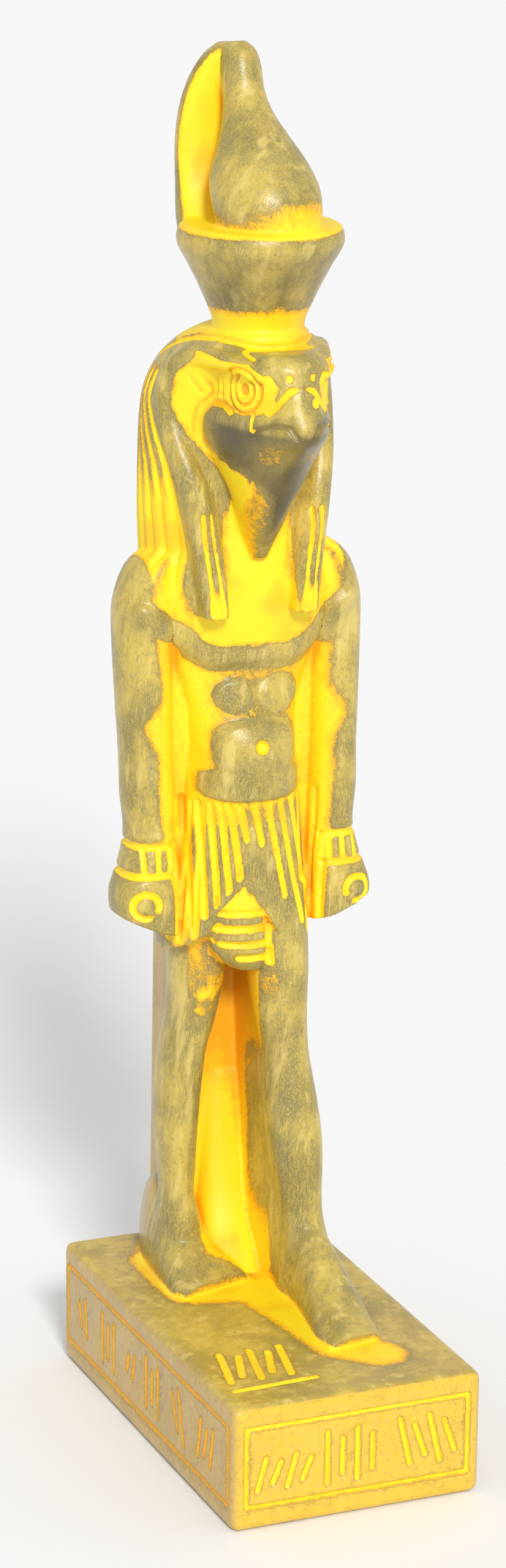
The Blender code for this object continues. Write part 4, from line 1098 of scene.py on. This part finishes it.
def rubbed_stone():
    """Grey-olive stone with yellow pigment in its hollows, fine scratches and speckled edges, with painted
    light and shade: orange pigment in hollows, golden front faces, darker side faces, a darker rim and dark
    shade under the beak.
    """
    s = Shader("rubbed_stone")
    speck = s.noise(5200, 2.0, 0.6)
    blot = s.noise(1100, 4.0, 0.65)
    cloud = s.noise(120, 3.0, 0.5)
    drift = s.noise(420, 3.0, 0.6, stretch=(1, 1, 5), turn=(4, 6, 0))
    grain = s.noise(10000, 1.0, 0.5, stretch=(1, 1, 18), turn=(2, 3, 0))
    slant = s.noise(8600, 1.0, 0.5, stretch=(1, 1, 22), turn=(11, 14, 0), distortion=0.3)
    cross = s.noise(7600, 1.0, 0.5, stretch=(1, 1, 18), turn=(-21, -33, 0), distortion=0.3)
    level_lines = s.noise(6500, 1.0, 0.5, stretch=(22, 22, 1))
    lit_face_gold, shaded_side_lilac = s.attribute("lit_face_gold"), s.attribute("shaded_side_lilac")
    level = s.attribute("pigment")
    spread = s.math("MULTIPLY", s.math("SUBTRACT", blot, 0.5), SPREAD)
    fine = s.math("MULTIPLY", s.math("SUBTRACT", speck, 0.5), SPECKLE)
    rubbed = s.math("ADD", level, s.math("ADD", spread, fine))
    cover = s.step(rubbed, *COVER)
    sides = s.math("MAXIMUM", lit_face_gold, shaded_side_lilac)
    streak = s.math("MULTIPLY", s.step(level_lines, 0.50, 0.68), s.math("MULTIPLY", sides, 0.22))
    scratches = s.math("MAXIMUM", s.step(slant, 0.60, 0.70), s.step(cross, 0.65, 0.72))
    scratches = s.math("MULTIPLY", scratches, s.math("SUBTRACT", 1.0, sides))

    # The stone, layer over layer
    stone = s.mix(s.step(cloud, 0.38, 0.62), OLIVE, KHAKI)
    layers = ((s.part_of(blot, 0.48, 0.70, 0.45), SLATE), (s.part_of(drift, 0.52, 0.70, 0.65), PALE),
              (s.part_of(drift, 0.48, 0.34, 0.40), SLATE), (s.part_of(speck, 0.52, 0.68, 0.35), PALE),
              # The golden layer is painted light and the brownish side layer painted shade, laid by which way
              # the faces turn
              (s.math("MULTIPLY", lit_face_gold, 0.85), LIT_FACE_GOLDEN), (s.math("MULTIPLY", shaded_side_lilac, 0.75), SHADED_SIDE_LILAC),
              (s.part_of(grain, 0.46, 0.70, 0.35), PALE), (streak, BROWN),
              # The charcoal layer is partly dark marks and partly painted shade under the beak
              (s.math("MULTIPLY", scratches, 0.45), SCRATCH), (s.attribute("dark"), CHARCOAL_AND_SHADE),
              # The umber rim is partly the pigment's dark edge and partly painted shade towards the hollows
              (s.part_of(rubbed, *RIM_EDGE_AND_SHADE, 0.50), UMBER_EDGE_AND_SHADE), (s.part_of(rubbed, *FILM, 0.85), OCHRE))
    for share, colour in layers:
        stone = s.mix(share, stone, colour)

    # The pigment, warmer where it is thin and in the larger clouds, and orange as painted shade deep in a
    # hollow
    thin_film = s.math("MULTIPLY", s.math("SUBTRACT", 1.0, s.step(rubbed, *THICK)), 0.85)
    shade = s.part_of(s.math("ADD", s.attribute("deep"), spread), *HOLLOW_SHADE, 0.9)
    warm_and_shade = s.math("MAXIMUM", s.math("MAXIMUM", thin_film, shade), s.part_of(cloud, 0.48, 0.70, 0.50))
    surface = s.add("ShaderNodeBsdfPrincipled")
    s.feed(surface.inputs["Base Color"], s.mix(cover, stone, s.mix(warm_and_shade, YELLOW, ORANGE_AND_SHADE)))
    surface.inputs["Specular IOR Level"].default_value = 0.5
    rough = s.math("ADD", POLISH, s.math("MULTIPLY", speck, POLISH_SPECKLE))
    rough = s.math("ADD", s.math("MULTIPLY", cover, PIGMENT_DULLNESS), rough)
    s.feed(surface.inputs["Roughness"], rough)
    relief = s.math("ADD", s.math("MULTIPLY", speck, 0.5), s.math("MULTIPLY", scratches, -0.4))
    relief = s.math("ADD", relief, s.math("MULTIPLY", grain, 0.4))
    relief = s.math("ADD", relief, s.math("MULTIPLY", cover, 0.35))
    bump = s.add("ShaderNodeBump")
    bump.inputs["Strength"].default_value = BUMP_STRENGTH
    bump.inputs["Distance"].default_value = BUMP_DEPTH
    s.feed(bump.inputs["Height"], relief)
    s.feed(surface.inputs["Normal"], bump.outputs[0])
    output = s.add("ShaderNodeOutputMaterial")
    s.feed(output.inputs["Surface"], surface.outputs[0])
    return s.material


def plain_floor():
    """Pale matt floor."""
    material = bpy.data.materials.new("pale_floor")
    material.use_nodes = True
    surface = material.node_tree.nodes["Principled BSDF"]
    surface.inputs["Base Color"].default_value = (FLOOR_GREY, FLOOR_GREY, FLOOR_GREY, 1)
    surface.inputs["Roughness"].default_value = FLOOR_ROUGHNESS
    return material


def make_figurine(box):
    """The whole carved block, in fine detail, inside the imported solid's box."""
    forms = []
    for make in (plinth, pillar, legs, feet, leg_webs, kilt, tab, torso, arms, arm_webs, wig, face,
                 front_roll, lappets, cup, bulb, spire):
        forms += make()
    mesh = fuse(forms, BLOCK_GRAIN)
    height = carve(mesh)
    dense, _ = read(mesh)
    mesh = thin(mesh, FINISHED_TRIANGLES)
    spots, _ = read(mesh)
    height = carried(height, dense, spots)
    mesh.vertices.foreach_set("co", np.clip(spots, box[0], box[1]).ravel())
    mesh.update()
    for name, values in pigment_map(mesh, height).items():
        layer = mesh.attributes.new(name, "FLOAT", "POINT")
        layer.data.foreach_set("value", values.astype(np.float32))
    for polygon in mesh.polygons:
        polygon.use_smooth = True
    piece = placed("figurine_carved", mesh)
    mesh.materials.clear()
    mesh.materials.append(rubbed_stone())
    return piece


def direction(azimuth, elevation):
    """Way from the part to a place at an azimuth and an elevation in degrees."""
    turn, rise = math.radians(azimuth), math.radians(elevation)
    return Vector((math.sin(turn) * math.cos(rise), -math.cos(turn) * math.cos(rise), math.sin(rise)))


def make_camera():
    """Camera of the photograph."""
    back = direction(CAMERA_AZIMUTH, CAMERA_ELEVATION)
    lens = bpy.data.cameras.new("camera")
    lens.sensor_width = CAMERA_SENSOR
    lens.lens = CAMERA_LENS
    camera = placed("camera", lens)
    camera.location = Vector(CAMERA_TARGET) + back * CAMERA_DISTANCE
    roll = Quaternion((0, 0, 1), math.radians(CAMERA_ROLL))
    camera.rotation_euler = ((-back).to_track_quat("-Z", "Y") @ roll).to_euler()
    bpy.context.scene.camera = camera
    bpy.context.scene.view_settings.view_transform = "Standard"


def make_lights():
    """Soft white studio light from the front and above, in an almost white room."""
    world = bpy.data.worlds.new("room")
    bpy.context.scene.world = world
    world.use_nodes = True
    room = world.node_tree.nodes["Background"].inputs
    room["Color"].default_value = (1, 1, 1, 1)
    room["Strength"].default_value = ROOM_LIGHT
    lamp = bpy.data.lights.new("key", "SUN")
    lamp.angle = math.radians(SUN_SPREAD)
    lamp.energy = SUN_POWER
    holder = placed("key", lamp)
    way = direction(SUN_AZIMUTH, SUN_ELEVATION)
    holder.location = way
    holder.rotation_euler = (-way).to_track_quat("-Z", "Y").to_euler()


def make_floor():
    """Level floor under the plinth."""
    mesh = bpy.data.meshes.new("floor")
    corners = [(x * FLOOR_HALF, y * FLOOR_HALF, 0) for x, y in ((-1, -1), (1, -1), (1, 1), (-1, 1))]
    mesh.from_pydata(corners, [], [(0, 1, 2, 3)])
    floor = placed("floor", mesh)
    mesh.materials.append(plain_floor())


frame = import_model()
cad_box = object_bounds()
make_camera()
make_lights()
make_floor()
figurine = make_figurine(cad_box)
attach(figurine, "root")
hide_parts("figurine")
